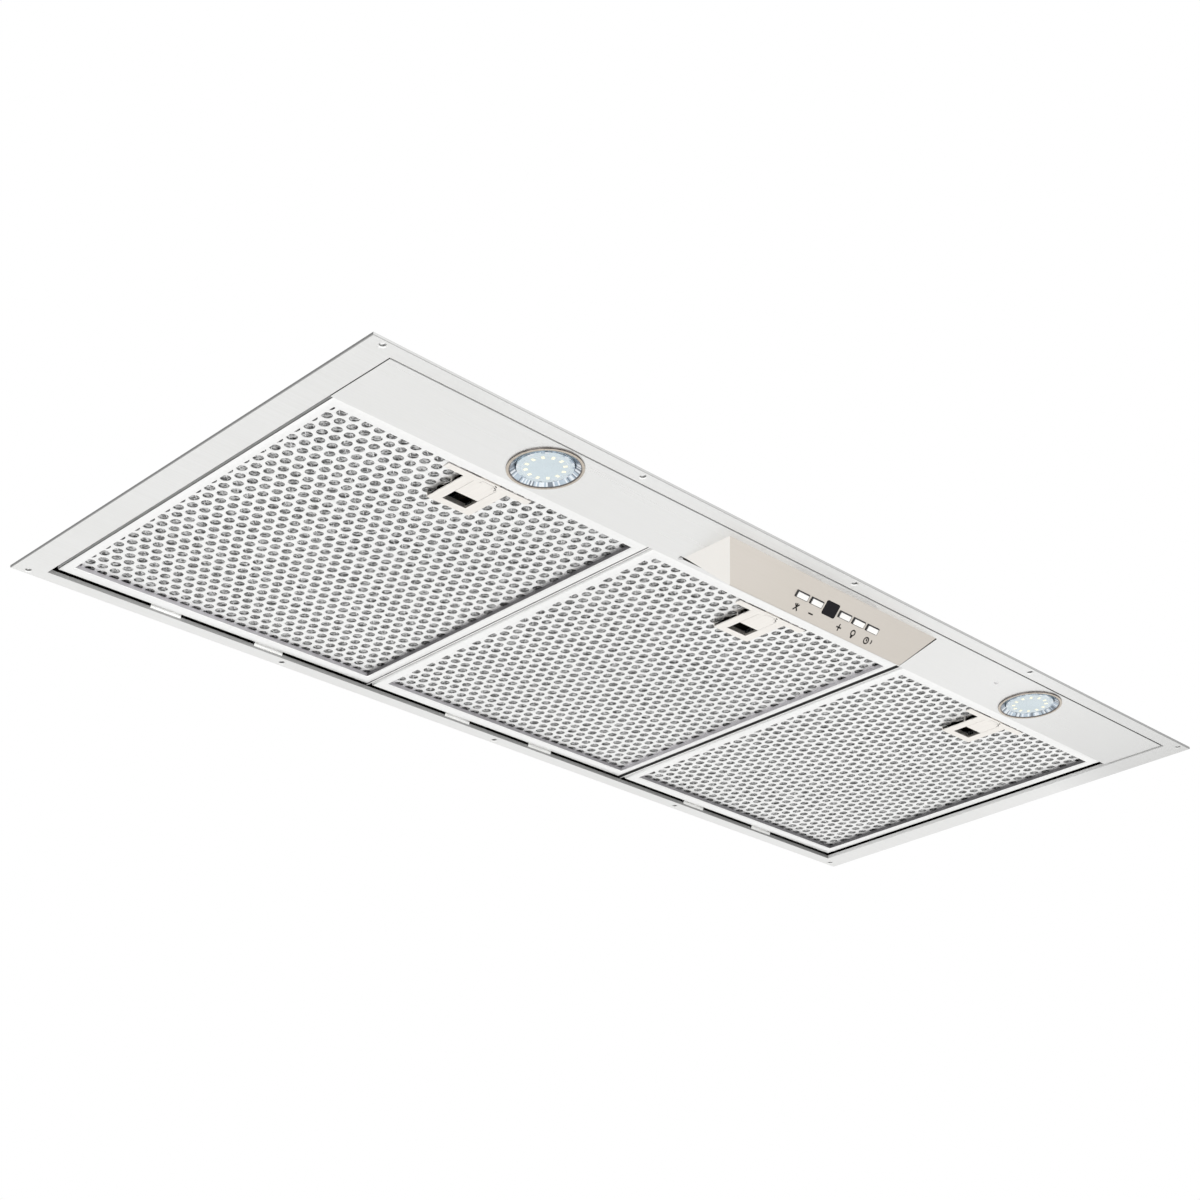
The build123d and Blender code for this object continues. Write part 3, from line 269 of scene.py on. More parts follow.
def galvanised(name, light, dark, rough):
    """Zinc-coated sheet with its spangle."""
    mat = shader(name, light, rough, 1.0)
    place = node(mat, "ShaderNodeTexCoord")
    cells = node(mat, "ShaderNodeTexVoronoi", {"Vector": place.outputs["Object"], "Scale": 90.0})
    tone = node(mat, "ShaderNodeSeparateColor", {0: cells.outputs["Color"]})
    join(mat, tint(mat, tone.outputs[0], dark, light, 0.0, 1.0), "Base Color")
    join(mat, between(mat, tone.outputs[1], rough - 0.06, rough + 0.1, 0.0, 1.0), "Roughness")
    join(mat, bump(mat, tone.outputs[2], 0.05, 0.0002), "Normal")
    return mat


# brushed: colour in the light, in the dark, roughness, stretch of the streaks, depth of relief
# flange and panel: painted shade on their walls, outer bevel and front right corner, and painted
# light on the right lip's walls and the flange's front walls
flange_steel = brushed("flange_steel", (0.86, 0.86, 0.855), (0.82, 0.82, 0.81), 0.36)
shade_walls(flange_steel, 0.16, 0.50, 0.28, cone=0.50, front=1.3, far_side=0.95, tip=0.82)
panel_steel = brushed("panel_steel", (0.86, 0.86, 0.855), (0.835, 0.835, 0.825), 0.32,
                      strength=0.02)
shade_walls(panel_steel, 0.30, 0.95, 0.35, far_side=0.95, tip=0.84)
# painted reflection: the wedge's stainless steel is given a warm tan tone, and its ends get
# painted light
wedge_steel = brushed("wedge_steel", (0.62, 0.58, 0.535), (0.60, 0.56, 0.51), 0.36,
                      strength=0.02)
wedge_light_and_shadow(wedge_steel, (0.80, 0.78, 0.75))
rim_steel = brushed("rim_steel", (0.975, 0.975, 0.97), (0.94, 0.94, 0.935), 0.36,
                    (250, 250, 250), 0.04)
# painted shade: the frames' inner walls are a darker copy of the rims' steel, and shade_walls
# darkens them further
inner_wall = brushed("inner_wall", (0.80, 0.78, 0.82), (0.62, 0.60, 0.63), 0.40,
                     (60, 60, 400), 0.05)
shade_walls(inner_wall, 0.13, 0.74, 0.15, middle=0.55)
# painted shade: nearly black side walls and dark end walls on the divider rails
rail_steel = brushed("rail_steel", (0.975, 0.975, 0.97), (0.94, 0.94, 0.935), 0.36,
                     (250, 250, 250), 0.04)
shade_walls(rail_steel, 0.06, 0.3, 0.3)
# painted light: the frames' outer walls are a pale matte copy of their steel, so that they look
# lit down in the gaps
outer_wall = moulded("outer_wall", (0.95, 0.95, 0.94), 0.6, 900.0, 0.02)
skin_steel = brushed("skin_steel", (0.975, 0.975, 0.97), (0.92, 0.92, 0.915), 0.40,
                     (60, 500, 500), 0.06)
latch_steel = brushed("latch_steel", (0.95, 0.92, 0.88), (0.91, 0.875, 0.83), 0.38,
                      (500, 40, 500), 0.04)
clip_steel = brushed("clip_steel", (0.9, 0.9, 0.89), (0.8, 0.8, 0.79), 0.25,
                     (40, 400, 400), 0.05)
zinc = galvanised("zinc", (0.66, 0.67, 0.68), (0.52, 0.53, 0.545), 0.38)
# the canopy shell's zinc, with painted shade on its inside
shell_zinc = galvanised("shell_zinc", (0.66, 0.67, 0.68), (0.52, 0.53, 0.545), 0.38)
painted_shade_inside(shell_zinc, (0.012, 0.010, 0.008))
# the filter backs, with painted shade on the faces that look down
back_zinc = galvanised("back_zinc", (0.42, 0.42, 0.42), (0.30, 0.30, 0.31), 0.42)
painted_shade_below(back_zinc, (0.05, 0.035, 0.02), (0.006, 0.005, 0.004))
dark_zinc = galvanised("dark_zinc", (0.42, 0.42, 0.42), (0.30, 0.30, 0.31), 0.42)
mesh_metal = speckled("mesh_metal", (0.60, 0.60, 0.60), (0.13, 0.13, 0.13), 0.45, 420.0)
strand_metal = speckled("strand_metal", (0.88, 0.88, 0.88), (0.40, 0.40, 0.40), 0.35, 300.0)
# chrome and a darker copy of it, for the painted dark reflections on the lamp rings
chrome = brushed("chrome", (0.62, 0.55, 0.47), (0.48, 0.43, 0.37), 0.14, (300, 300, 300), 0.01)
chrome_dark = brushed("chrome_dark", (0.20, 0.18, 0.17), (0.10, 0.09, 0.085), 0.16,
                      (300, 300, 300), 0.01)
# bright, blue and dark copies of one metal, for painted reflections on the lamp reflectors and
# lenses
facet_bright = brushed("facet_bright", (0.84, 0.88, 0.92), (0.72, 0.77, 0.82), 0.20,
                       (200, 200, 200), 0.02)
facet_blue = brushed("facet_blue", (0.52, 0.60, 0.68), (0.42, 0.50, 0.58), 0.18,
                     (200, 200, 200), 0.02)
facet_dark = brushed("facet_dark", (0.26, 0.29, 0.33), (0.20, 0.23, 0.27), 0.16,
                     (200, 200, 200), 0.02)
spring_metal = brushed("spring_metal", (0.6, 0.6, 0.6), (0.45, 0.45, 0.45), 0.25,
                       (500, 500, 500), 0.02)
shaft_metal = brushed("shaft_metal", (0.66, 0.66, 0.66), (0.55, 0.55, 0.55), 0.22,
                      (20, 600, 600), 0.03)

# moulded: colour, roughness, scale of the fine texture, depth of relief
lens = moulded("lens", (0.56, 0.645, 0.69), 0.28, 900.0, 0.02,
               Coat_Weight=0.4, Coat_Roughness=0.08)
led = moulded("led", (0.98, 0.94, 0.72), 0.35, 900.0, 0.02,
              Emission_Color=(1.0, 0.93, 0.68, 1), Emission_Strength=0.12)
white_plastic = moulded("white_plastic", (0.82, 0.82, 0.81), 0.35, 1800.0, 0.04)
button_white = moulded("button_white", (0.90, 0.89, 0.87), 0.30, 1800.0, 0.03)
black_plastic = moulded("black_plastic", (0.022, 0.022, 0.024), 0.38)
display_black = moulded("display_black", (0.008, 0.007, 0.009), 0.22, 300.0, 0.0,
                        Specular_IOR_Level=0.12)
# print on the keys and latches, and the painted shadow strip behind the wedge
ink_and_shadow_black = moulded("ink_and_shadow_mat", SHADOW_AND_INK_BLACK, 0.6, Specular_IOR_Level=0.1)
pale_mark = moulded("pale_mark", (0.60, 0.59, 0.58), 0.5)
wheel_grey = moulded("wheel_grey", (0.16, 0.165, 0.17), 0.45)
motor_grey = moulded("motor_grey", (0.33, 0.335, 0.34), 0.42, 1200.0, 0.12)
board_green = moulded("board_green", (0.03, 0.17, 0.07), 0.4, 800.0, 0.08)

# the CAD nodes that are shown as they are, with their materials
carried = {
    "flange_frame": flange_steel, "light_panel": panel_steel, "control_housing": wedge_steel,
    "canopy_shell": shell_zinc, "blower_box": zinc, "wiring_cover": dark_zinc,
    "divider_rails": rail_steel, "filter_rest_clips": clip_steel, "scroll_housing": zinc,
    "inlet_ring_left": zinc, "inlet_ring_right": zinc, "impeller": wheel_grey,
    "motor": motor_grey, "motor_shaft": shaft_metal, "motor_bracket": zinc,
    "capacitor": white_plastic, "capacitor_clamp": zinc, "outlet_collar": black_plastic,
    "damper_pin": shaft_metal, "damper_flap_left": zinc, "damper_flap_right": zinc,
    "junction_box": zinc, "junction_cover": zinc, "cable_gland": black_plastic,
    "control_board": board_green, "lamp_sockets": white_plastic,
    "lamp_body_left": white_plastic, "lamp_body_right": white_plastic,
    "body_screws": shaft_metal, "display_window": display_black,
}
for side in SIDES:
    carried[f"filter_back_{side}"] = back_zinc
    carried[f"latch_plate_{side}"] = latch_steel
    carried[f"latch_slider_{side}"] = latch_steel
    carried[f"latch_spring_{side}"] = spring_metal
for name, mat in carried.items():
    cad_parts[name].data.materials.clear()
    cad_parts[name].data.materials.append(mat)


# ---------------------------------------------------------------- making pieces
def piece(name, verts, faces, body, mats, angle=35.0, face_mats=None):
    """One object from points in mm, smooth apart from edges sharper than an angle."""
    mesh = bpy.data.meshes.new(name)
    mesh.from_pydata([(MM * x, MM * y, MM * z) for x, y, z in verts], [], faces)
    for mat in mats if isinstance(mats, (list, tuple)) else [mats]:
        mesh.materials.append(mat)
    if face_mats:
        mesh.polygons.foreach_set("material_index", face_mats)
    mesh.polygons.foreach_set("use_smooth", [True] * len(faces))
    mesh.set_sharp_from_angle(angle=math.radians(angle))
    obj = bpy.data.objects.new(name, mesh)
    scene.collection.objects.link(obj)
    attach(obj, body)
    return obj


def turned_out(verts, faces):
    """The same faces, all turned outwards."""
    bm = bmesh.new()
    made = [bm.verts.new(v) for v in verts]
    for face in faces:
        bm.faces.new([made[i] for i in face])
    bmesh.ops.recalc_face_normals(bm, faces=bm.faces)
    bm.verts.index_update()
    result = [[v.index for v in face.verts] for face in bm.faces]
    bm.free()
    return result


def added(parts):
    """Several (verts, faces) put together."""
    verts, faces = [], []
    for more_verts, more_faces in parts:
        base = len(verts)
        verts += more_verts
        faces += [[base + i for i in face] for face in more_faces]
    return verts, faces


def swept_rectangle(section, centre, half):
    """A closed section swept round a rectangle with mitred corners. Its points are
    (inset at the sides, inset at the ends, z)."""
    verts = [(centre[0] + sx * (half[0] - px), centre[1] + sy * (half[1] - py), z)
             for sx, sy in ((-1, -1), (1, -1), (1, 1), (-1, 1)) for px, py, z in section]
    count = len(section)
    faces = [[corner * count + i, ((corner + 1) % 4) * count + i,
              ((corner + 1) % 4) * count + (i + 1) % count, corner * count + (i + 1) % count]
             for corner in range(4) for i in range(count)]
    return verts, turned_out(verts, faces)


def turned_ring(section, centre, steps, closed=True):
    """A section of (radius, z) turned round an upright axis."""
    verts = [(centre[0] + r * math.cos(2 * math.pi * k / steps),
              centre[1] + r * math.sin(2 * math.pi * k / steps), z)
             for k in range(steps) for r, z in section]
    count = len(section)
    last = count if closed else count - 1
    faces = [[k * count + i, ((k + 1) % steps) * count + i,
              ((k + 1) % steps) * count + (i + 1) % count, k * count + (i + 1) % count]
             for k in range(steps) for i in range(last)]
    if not closed:
        faces.append([k * count for k in range(steps)])
        faces.append([k * count + count - 1 for k in range(steps)])
    return verts, turned_out(verts, faces)


def soft_box(low, high, radius, steps=2):
    """A box with rounded edges."""
    bm = bmesh.new()
    bmesh.ops.create_cube(bm, size=1.0)
    for v in bm.verts:
        v.co = Vector([(a + b) / 2 + c * (b - a) for a, b, c in zip(low, high, v.co)])
    bmesh.ops.bevel(bm, geom=bm.edges[:], offset=radius, segments=steps, affect="EDGES",
                    profile=0.5)
    bm.verts.index_update()
    made = [tuple(v.co) for v in bm.verts], [[v.index for v in f.verts] for f in bm.faces]
    bm.free()
    return made


def prism(outline, z0, z1):
    """An outline of (x, y) between two heights."""
    count = len(outline)
    verts = [(x, y, z0) for x, y in outline] + [(x, y, z1) for x, y in outline]
    faces = [list(range(count))[::-1], list(range(count, 2 * count))]
    faces += [[i, (i + 1) % count, count + (i + 1) % count, count + i] for i in range(count)]
    return verts, turned_out(verts, faces)


def moved(part, matrix):
    verts, faces = part
    return [tuple(matrix @ Vector(v)) for v in verts], faces


# ---------------------------------------------------------------- filter cassettes
FRAME_HALF = (180.5, 196.55)
FRAME_Y = 34.55              # middle of a cassette
FRAME_RIM = (10.0, 12.0)     # width of the rim at the sides and at the ends
FRAME_FRONT = -162.0
SKIN_HALF = (179.0, 195.05)
SKIN_Z = (4.9, 5.7)
SLAB_HALF = (178, 194)
SLAB_Z = (6.15, 11.9)
PITCH = 13.0                 # between the holes of a skin
HOLE = 4.8                   # radius of a hole
HOLE_SIDES = 18
PER_EDGE = HOLE_SIDES // 6   # sides of the hole to each edge of its hexagon
FIRST_ROW = 19.8             # row 0 of the holes, from the frame's front
LATCH_CUT = (-21.25, -140.5, 21.25, -95.0)
# looks of the faces of a frame's section: its first is the inner wall, in painted shade, its
# seventh the outer wall, in painted light
FRAME_LOOKS = [{0: 1, 6: 2}.get(i, 0) for corner in range(4) for i in range(18)]


def split(polygons, axis, value):
    """Every polygon cut along one straight line."""
    result = []
    for poly in polygons:
        if min(p[axis] for p in poly) > value - 1e-6 or max(p[axis] for p in poly) < value + 1e-6:
            result.append(poly)
            continue
        below, above = [], []
        for p, q in zip(poly, poly[1:] + poly[:1]):
            if p[axis] <= value:
                below.append(p)
            if p[axis] >= value:
                above.append(p)
            if (p[axis] - value) * (q[axis] - value) < 0:
                a, b = sorted((p, q))
                t = (value - a[axis]) / (b[axis] - a[axis])
                cut = [a[0] + (b[0] - a[0]) * t, a[1] + (b[1] - a[1]) * t]
                cut[axis] = value
                below.append(tuple(cut))
                above.append(tuple(cut))
        result += [poly for poly in (below, above) if len(poly) > 2]
    return result


def inside(poly, box):
    x = sum(p[0] for p in poly) / len(poly)
    y = sum(p[1] for p in poly) / len(poly)
    return box[0] < x < box[2] and box[1] < y < box[3]


def at_latch(x, y, margin):
    """Whether a point about x = 0 lies over the latch, or within a margin of it."""
    return (LATCH_CUT[0] - margin < x < LATCH_CUT[2] + margin
            and LATCH_CUT[1] - margin < y < LATCH_CUT[3] + margin)


def hole_cell(x, y):
    """One hexagon of the sheet with its round hole."""
    rim, edge = [], []
    for k in range(HOLE_SIDES):
        a, b = k // PER_EDGE, (k % PER_EDGE) / PER_EDGE
        c = [(PITCH / math.sqrt(3)) * f(math.radians(30 + 60 * n))
             for n in (a, a + 1) for f in (math.cos, math.sin)]
        rim.append((x + c[0] + (c[2] - c[0]) * b, y + c[1] + (c[3] - c[1]) * b))
        angle = math.radians(30 + 360 // HOLE_SIDES * k)
        edge.append((x + HOLE * math.cos(angle), y + HOLE * math.sin(angle)))
    following = [(k, (k + 1) % HOLE_SIDES) for k in range(HOLE_SIDES)]
    return [[rim[k], rim[n], edge[n], edge[k]] for k, n in following]


def sheet_polygons():
    """The perforated sheet about x = 0, as flat polygons that share their edges."""
    bounds = (-SKIN_HALF[0], FRAME_Y - SKIN_HALF[1], SKIN_HALF[0], FRAME_Y + SKIN_HALF[1])
    polygons = []
    # rows and columns reach past the sheet on all sides and are cut to its size
    for row in range(-2, 36):
        y = FRAME_FRONT + FIRST_ROW + row * PITCH * math.sin(math.radians(60))
        for column in range(-16, 17):
            x = column * PITCH + (PITCH / 2 if row % 2 else 0.0)
            polygons += hole_cell(x, y)
    for box in (bounds, LATCH_CUT):
        for axis in (0, 1):
            polygons = split(polygons, axis, box[axis])
            polygons = split(polygons, axis, box[axis + 2])
    return [p for p in polygons if inside(p, bounds) and not inside(p, LATCH_CUT)]


def plate(polygons, z0, z1):
    """Flat polygons given a thickness, with walls where no neighbour shares the edge."""
    index, verts = {}, []

    def vertex(p):
        key = (round(p[0], 3), round(p[1], 3))
        if key not in index:
            index[key] = len(verts)
            verts.append(p)
        return index[key]

    flat = []
    for poly in polygons:
        ring = [vertex(p) for p in poly]
        ring = [v for i, v in enumerate(ring) if v != ring[i - 1]]
        if len(ring) > 2:
            flat.append(ring)
    edges = {(a, b) for ring in flat for a, b in zip(ring, ring[1:] + ring[:1])}
    count = len(verts)
    faces = [ring[::-1] for ring in flat] + [[count + v for v in ring] for ring in flat]
    faces += [[a, b, count + b, count + a] for a, b in edges if (b, a) not in edges]
    return [(x, y, z0) for x, y in verts] + [(x, y, z1) for x, y in verts], faces


sheet = plate(sheet_polygons(), *SKIN_Z)


def frame_part(x, slimmer=0.0):
    """The folded frame round a cassette, as the section of its sheet swept round. The outer wall
    on its right can stand a little further in."""
    z0 = -0.1
    # points of the sheet: "o" from the rim's outer edge, "i" from its inner edge, and the height
    path = [("i", 0.0, 4.9), ("i", 0.0, z0 + 1.2), ("i", 0.35, z0 + 0.35), ("i", 1.2, z0),
            ("o", 1.3, z0), ("o", 0.4, z0 + 0.4), ("o", 0.0, z0 + 1.3), ("o", 0.0, 13.0),
            ("o", 0.25, 13.65), ("o", 0.9, 13.9), ("i", 0.0, 13.9), ("i", 0.0, 12.9),
            ("o", 1.0, 12.9), ("o", 1.0, z0 + 1.5), ("o", 1.5, z0 + 1.0), ("i", 1.4, z0 + 1.0),
            ("i", 1.0, z0 + 1.4), ("i", 1.0, 4.9)]
    section = [(d, d, z) if kind == "o" else (FRAME_RIM[0] - d, FRAME_RIM[1] - d, z)
               for kind, d, z in path]
    verts, faces = swept_rectangle(section, (x, FRAME_Y), FRAME_HALF)
    outer_part = x + FRAME_HALF[0] - 4.0
    return [(px - slimmer if px > outer_part else px, py, z) for px, py, z in verts], faces


def cut_boxes(obj, boxes):
    """Takes boxes away from a piece and keeps the result as its mesh."""
    verts, faces = added([soft_box(low, high, 0.01, 1) for low, high in boxes])
    mesh = bpy.data.meshes.new("cutter")
    mesh.from_pydata([(MM * a, MM * b, MM * c) for a, b, c in verts], [], faces)
    cutter = bpy.data.objects.new("cutter", mesh)
    scene.collection.objects.link(cutter)
    change = obj.modifiers.new("cut", "BOOLEAN")
    change.object = cutter
    change.solver = "EXACT"
    view = bpy.context.evaluated_depsgraph_get()
    result = bpy.data.meshes.new_from_object(obj.evaluated_get(view))
    obj.modifiers.clear()
    obj.data = result
    result.set_sharp_from_angle(angle=math.radians(35))
    bpy.data.objects.remove(cutter)


def mesh_slab(x):
    """The pressed aluminium mesh behind a skin: a slab with a rough crumpled surface."""
    step = 4.0
    cols, rows = (int(2 * half / step) + 1 for half in SLAB_HALF)
    verts = []
    for layer, base in enumerate(SLAB_Z):
        for j in range(rows):
            for i in range(cols):
                px = -SLAB_HALF[0] + 2 * SLAB_HALF[0] * i / (cols - 1)
                py = -SLAB_HALF[1] + 2 * SLAB_HALF[1] * j / (rows - 1)
                rough = noise.noise(Vector((0.16 * px + x, 0.16 * py, 3.0 * layer)))
                z = base + (0.3 * rough if layer == 0 else 0.0)
                verts.append((x + px, FRAME_Y + py, z))
    layer_size = cols * rows
    faces = []
    for j in range(rows - 1):
        for i in range(cols - 1):
            a = j * cols + i
            if at_latch(verts[a][0] + step / 2 - x, verts[a][1] + step / 2, 2):
                continue
            faces.append([a, a + cols, a + cols + 1, a + 1])
            faces.append([layer_size + v for v in (a, a + 1, a + cols + 1, a + cols)])
    edges = {(p, q) for f in faces if f[0] < layer_size for p, q in zip(f, f[1:] + f[:1])}
    faces += [[q, p, layer_size + p, layer_size + q] for p, q in edges if (q, p) not in edges]
    used = sorted({v for f in faces for v in f})
    number = {v: i for i, v in enumerate(used)}
    return [verts[v] for v in used], [[number[v] for v in f] for f in faces]


def strands(x):
    """Zigzag strands of the front layer of mesh, crossing from row to row."""
    parts = []
    step_x, step_y = 5.2, 5.4
    section = ((-0.45, 0.0), (0.0, -0.22), (0.45, 0.0), (0.0, 0.25))
    for row in range(int(384 / step_y)):
        y = FRAME_Y - 191.5 + row * step_y
        shift = rng.uniform(-1.5, 1.5)
        line = []
        for k in range(int(352 / step_x)):
            px = -175 + k * step_x + shift
            sway = 2.5 if (k + row) % 2 else -2.5
            line.append((px, y + sway + rng.uniform(-0.6, 0.6), 5.95 + rng.uniform(0.0, 0.1)))
        run = []
        for p in line + [None]:
            if p is not None and not at_latch(p[0], p[1], 3):
                run.append(p)
                continue
            if len(run) > 2:
                verts = [(x + a, b + db, c + dc) for a, b, c in run for db, dc in section]
                faces = [[4 * i + j, 4 * i + 4 + j, 4 * i + 4 + (j + 1) % 4, 4 * i + (j + 1) % 4]
                         for i in range(len(run) - 1) for j in range(4)]
                faces += [[0, 1, 2, 3], [4 * len(run) - 1 - j for j in range(4)]]
                parts.append((verts, faces))
            run = []
    return added(parts)


for side, x in SIDES.items():
    body = f"filter_{side}"
    slimmer = 3.2 if side == "middle" else 0.0
    folded = piece(f"folded_frame_{side}", *frame_part(x, slimmer), body,
                   (rim_steel, inner_wall, outer_wall), face_mats=FRAME_LOOKS)
    # the way for the latch's tongue through the front wall
    cut_boxes(folded, [((x - 12, -164, 0.9), (x + 12, -148, 2.9))])
    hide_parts(f"filter_frame_{side}")
    hooks = [soft_box((x + s * 60 - 17, 230.3, 4.9), (x + s * 60 + 17, 238.8, 5.9), 0.25, 1)
             for s in (-1, 1)]
    hook = piece(f"rear_hooks_{side}", *added(hooks), body, rim_steel)
    skin = piece(f"perforated_skin_{side}", [(x + a, b, c) for a, b, c in sheet[0]], sheet[1],
                 body, skin_steel)
    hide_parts(f"filter_skin_{side}")
    slab = piece(f"mesh_layers_{side}", *mesh_slab(x), body, mesh_metal, 80.0)
    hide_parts(f"filter_mesh_{side}")
    piece(f"mesh_strands_{side}", *strands(x), body, strand_metal, 80.0)

# ---------------------------------------------------------------- lamps
LAMP_X, LAMP_Y = 354.0, -199.0
CONE_FACETS = 120
LED_COUNT, LED_RADIUS = 12, 16.8
# sections of (radius, z)
RING = [(33.35, -1.6), (33.35, -2.3), (33.1, -2.8), (32.5, -3.1), (31.4, -3.1), (30.9, -2.95),
        (30.6, -2.6), (29.9, -2.3), (29.9, -1.9), (31.0, -1.75)]
RING_DARK = (0, 1, 5, 6, 7)  # the bands of the ring that are in a darker copy of the chrome, a painted dark reflection
CONE = [(30.5, -2.5), (25.5, 0.9), (25.5, 9.9), (26.2, 9.9), (26.2, 1.2), (30.9, -1.7)]
FACE = [(19.4, -1.2), (20.0, -1.3), (22.6, -1.05), (24.6, -0.75), (24.9, 0.0), (24.9, 2.9)]
FACE_LOOKS = {0: (1,), 2: (1, 0, 0, 2), 3: (2, 3)}  # looks to draw from, for a band of the lens, among the lens and the painted reflections of the facets

for side, x in (("left", -LAMP_X), ("right", LAMP_X)):
    centre = (x, LAMP_Y)
    verts, faces = turned_ring(RING, centre, 96)
    tones = [int(i % len(RING) in RING_DARK) for i in range(len(faces))]
    piece(f"lamp_ring_{side}", verts, faces, "hood_body", (chrome, chrome_dark),
                  face_mats=tones)
    # painted reflections: each facet of the reflector gets the bright, blue or dark copy at random
    shares = [rng.choices((0, 1, 2), (3, 4, 3))[0] for _ in range(CONE_FACETS)]
    verts, faces = turned_ring(CONE, centre, CONE_FACETS)
    reflector = piece(f"lamp_cone_{side}", verts, faces, "hood_body",
                      (facet_bright, facet_blue, facet_dark), 2.0,
                      [shares[i // len(CONE)] for i in range(len(faces))])
    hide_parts(f"lamp_trim_{side}")
    verts, faces = turned_ring(FACE, centre, 48, closed=False)
    bands = len(FACE) - 1
    looks = [rng.choice(FACE_LOOKS.get(i % bands, (0,))) for i in range(len(faces) - 2)] + [0, 0]
    disc = piece(f"lamp_lens_{side}", verts, faces, "hood_body",
                 (lens, facet_bright, facet_blue, facet_dark), 12.0, looks)
    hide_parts(f"lamp_disc_{side}")
    chips = []
    for k in range(LED_COUNT):
        angle = math.radians(360 // LED_COUNT * k + 9)
        spot = Matrix.Translation((x + LED_RADIUS * math.cos(angle),
                                   LAMP_Y + LED_RADIUS * math.sin(angle), 0)) \
            @ Matrix.Rotation(angle + rng.uniform(-0.2, 0.2), 4, "Z")
        chips.append(moved(soft_box((-1.8, -1.4, -1.5), (1.8, 1.4, -0.9), 0.2, 1), spot))
    piece(f"lamp_leds_{side}", *added(chips), "hood_body", led)

# ---------------------------------------------------------------- control wedge
PANEL_Z = -1.6  # lower face of the light panel
# the wedge's front slope: x along it, -y down it from its foot on the panel, z out of it
COS, SIN = 0.68812, 0.7256
slope = Matrix(((1, 0, 0, 0), (0, -COS, -SIN, -227.0), (0, SIN, -COS, PANEL_Z), (0, 0, 0, 1)))
BUTTONS = {"power": -38.2, "minus": -17.4, "plus": 24.2, "light": 45.0, "timer": 65.8}
# half width, two ends along y, two heights, rounding and its steps
KEY_PARTS = ((7.3, -22.5, -17.3, 0.6, 1.8, 0.5, 3),      # cap
             (8.5, -22.75, -16.25, -1.5, 1.1, 0.4, 2),   # collar
             (9.7, -23.95, -15.05, -2.5, -1.5, 0.2, 1),  # base
             (1.5, -21.0, -18.0, -3.0, -2.4, 0.2, 1))    # stem
for name, x in BUTTONS.items():
    parts = [soft_box((x - half, y0, z0), (x + half, y1, z1), radius, steps)
             for half, y0, y1, z0, z1, radius, steps in KEY_PARTS]
    cap_faces = len(parts[0][1])
    verts, faces = moved(added(parts), slope)
    key = piece(f"key_{name}", verts, faces, f"button_{name}", (button_white, black_plastic),
                face_mats=[int(i >= cap_faces) for i in range(len(faces))])
    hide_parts(f"button_{name}")


def stroke(points, width):
    """A printed line of short flat bars, 0.06 mm high."""
    parts = []
    for (x0, y0), (x1, y1) in zip(points, points[1:]):
        length = math.hypot(x1 - x0, y1 - y0)
        nx, ny = -(y1 - y0) / length * width / 2, (x1 - x0) / length * width / 2
        parts.append(prism([(x0 + nx, y0 + ny), (x0 - nx, y0 - ny),
                            (x1 - nx, y1 - ny), (x1 + nx, y1 + ny)], 0.0, 0.06))
    return parts


def circle(x, y, r, steps=16, start=0, end=360):
    angles = [math.radians(start + (end - start) * k / steps) for k in range(steps + 1)]
    return [(x + r * math.cos(angle), y + r * math.sin(angle)) for angle in angles]


# generic symbols under the keys, as lines about the middle of each
SYMBOL_Y = -31.5
SYMBOLS = {
    "power": [[(-2.8, 3.2), (2.8, -3.2)], [(-2.8, -3.2), (2.8, 3.2)], [(0.0, 1.2), (0.0, 3.9)]],
    "minus": [[(-3.2, 0.0), (3.2, 0.0)]],
    "plus": [[(-3.4, 0.0), (3.4, 0.0)], [(0.0, 3.6), (0.0, -3.6)]],
    "light": [circle(0.0, 1.0, 2.7), [(-1.5, -2.6), (1.5, -2.6)], [(-1.1, -3.7), (1.1, -3.7)]],
    "timer": [circle(0.0, 0.0, 3.1), [(0.0, 1.8), (0.0, 0.0), (1.5, 0.0)],
              circle(5.6, 0.6, 2.0, 8, -60, 60)],
}
marks = []
for name, lines in SYMBOLS.items():
    for line in lines:
        marks += stroke([(BUTTONS[name] + a, SYMBOL_Y + b) for a, b in line], 1.45)
piece("key_symbols", *moved(added(marks), slope), "hood_body", ink_and_shadow_black)

# faint dashes on the panel in front of the wedge
DASHES = ((-63.5, -53.0), (-46.5, -28.0), (-3.0, 16.0), (22.0, 31.5), (38.0, 53.5))
dashes = [prism([(a, -231.3), (b, -231.3), (b, -228.2), (a, -228.2)], -1.66, PANEL_Z)
          for a, b in DASHES]
piece("panel_dashes", *added(dashes), "hood_body", pale_mark)

# painted shadow: a thin black strip under the panel behind the wedge's base, where the gap there
# lies in shade
painted_shadow = prism([(-157.0, -171.3), (153.3, -171.3), (153.3, -170.3), (-157.0, -169.0)], -1.9, PANEL_Z)
piece("wedge_shadow_strip", *painted_shadow, "hood_body", ink_and_shadow_black)

# small bent arrow beside each latch's tab
ARROW = ((6.2, -147.2), (9.0, -146.0), (8.4, -143.6), (11.2, -142.6), (11.0, -139.8))
for side, x in SIDES.items():
    bars = stroke([(x + a, b) for a, b in ARROW], 0.7)
    arrow = [([(a, b, c - 0.16) for a, b, c in verts], faces) for verts, faces in bars]
    piece(f"latch_arrow_{side}", *added(arrow), f"filter_{side}", ink_and_shadow_black)

# each latch spring gets a mesh of its own
for side, x in SIDES.items():
    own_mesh(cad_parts[f"latch_spring_{side}"])

# two small screws that hold the light panel
SCREW_HEAD = [(0.4, -2.35), (1.5, -2.3), (2.2, -2.0), (2.4, -1.6)]
heads = [turned_ring(SCREW_HEAD, place, 24, closed=False)
         for place in ((-154.6, -168.5), (282.0, -206.9))]
piece("panel_screws", *added(heads), "hood_body", shaft_metal)

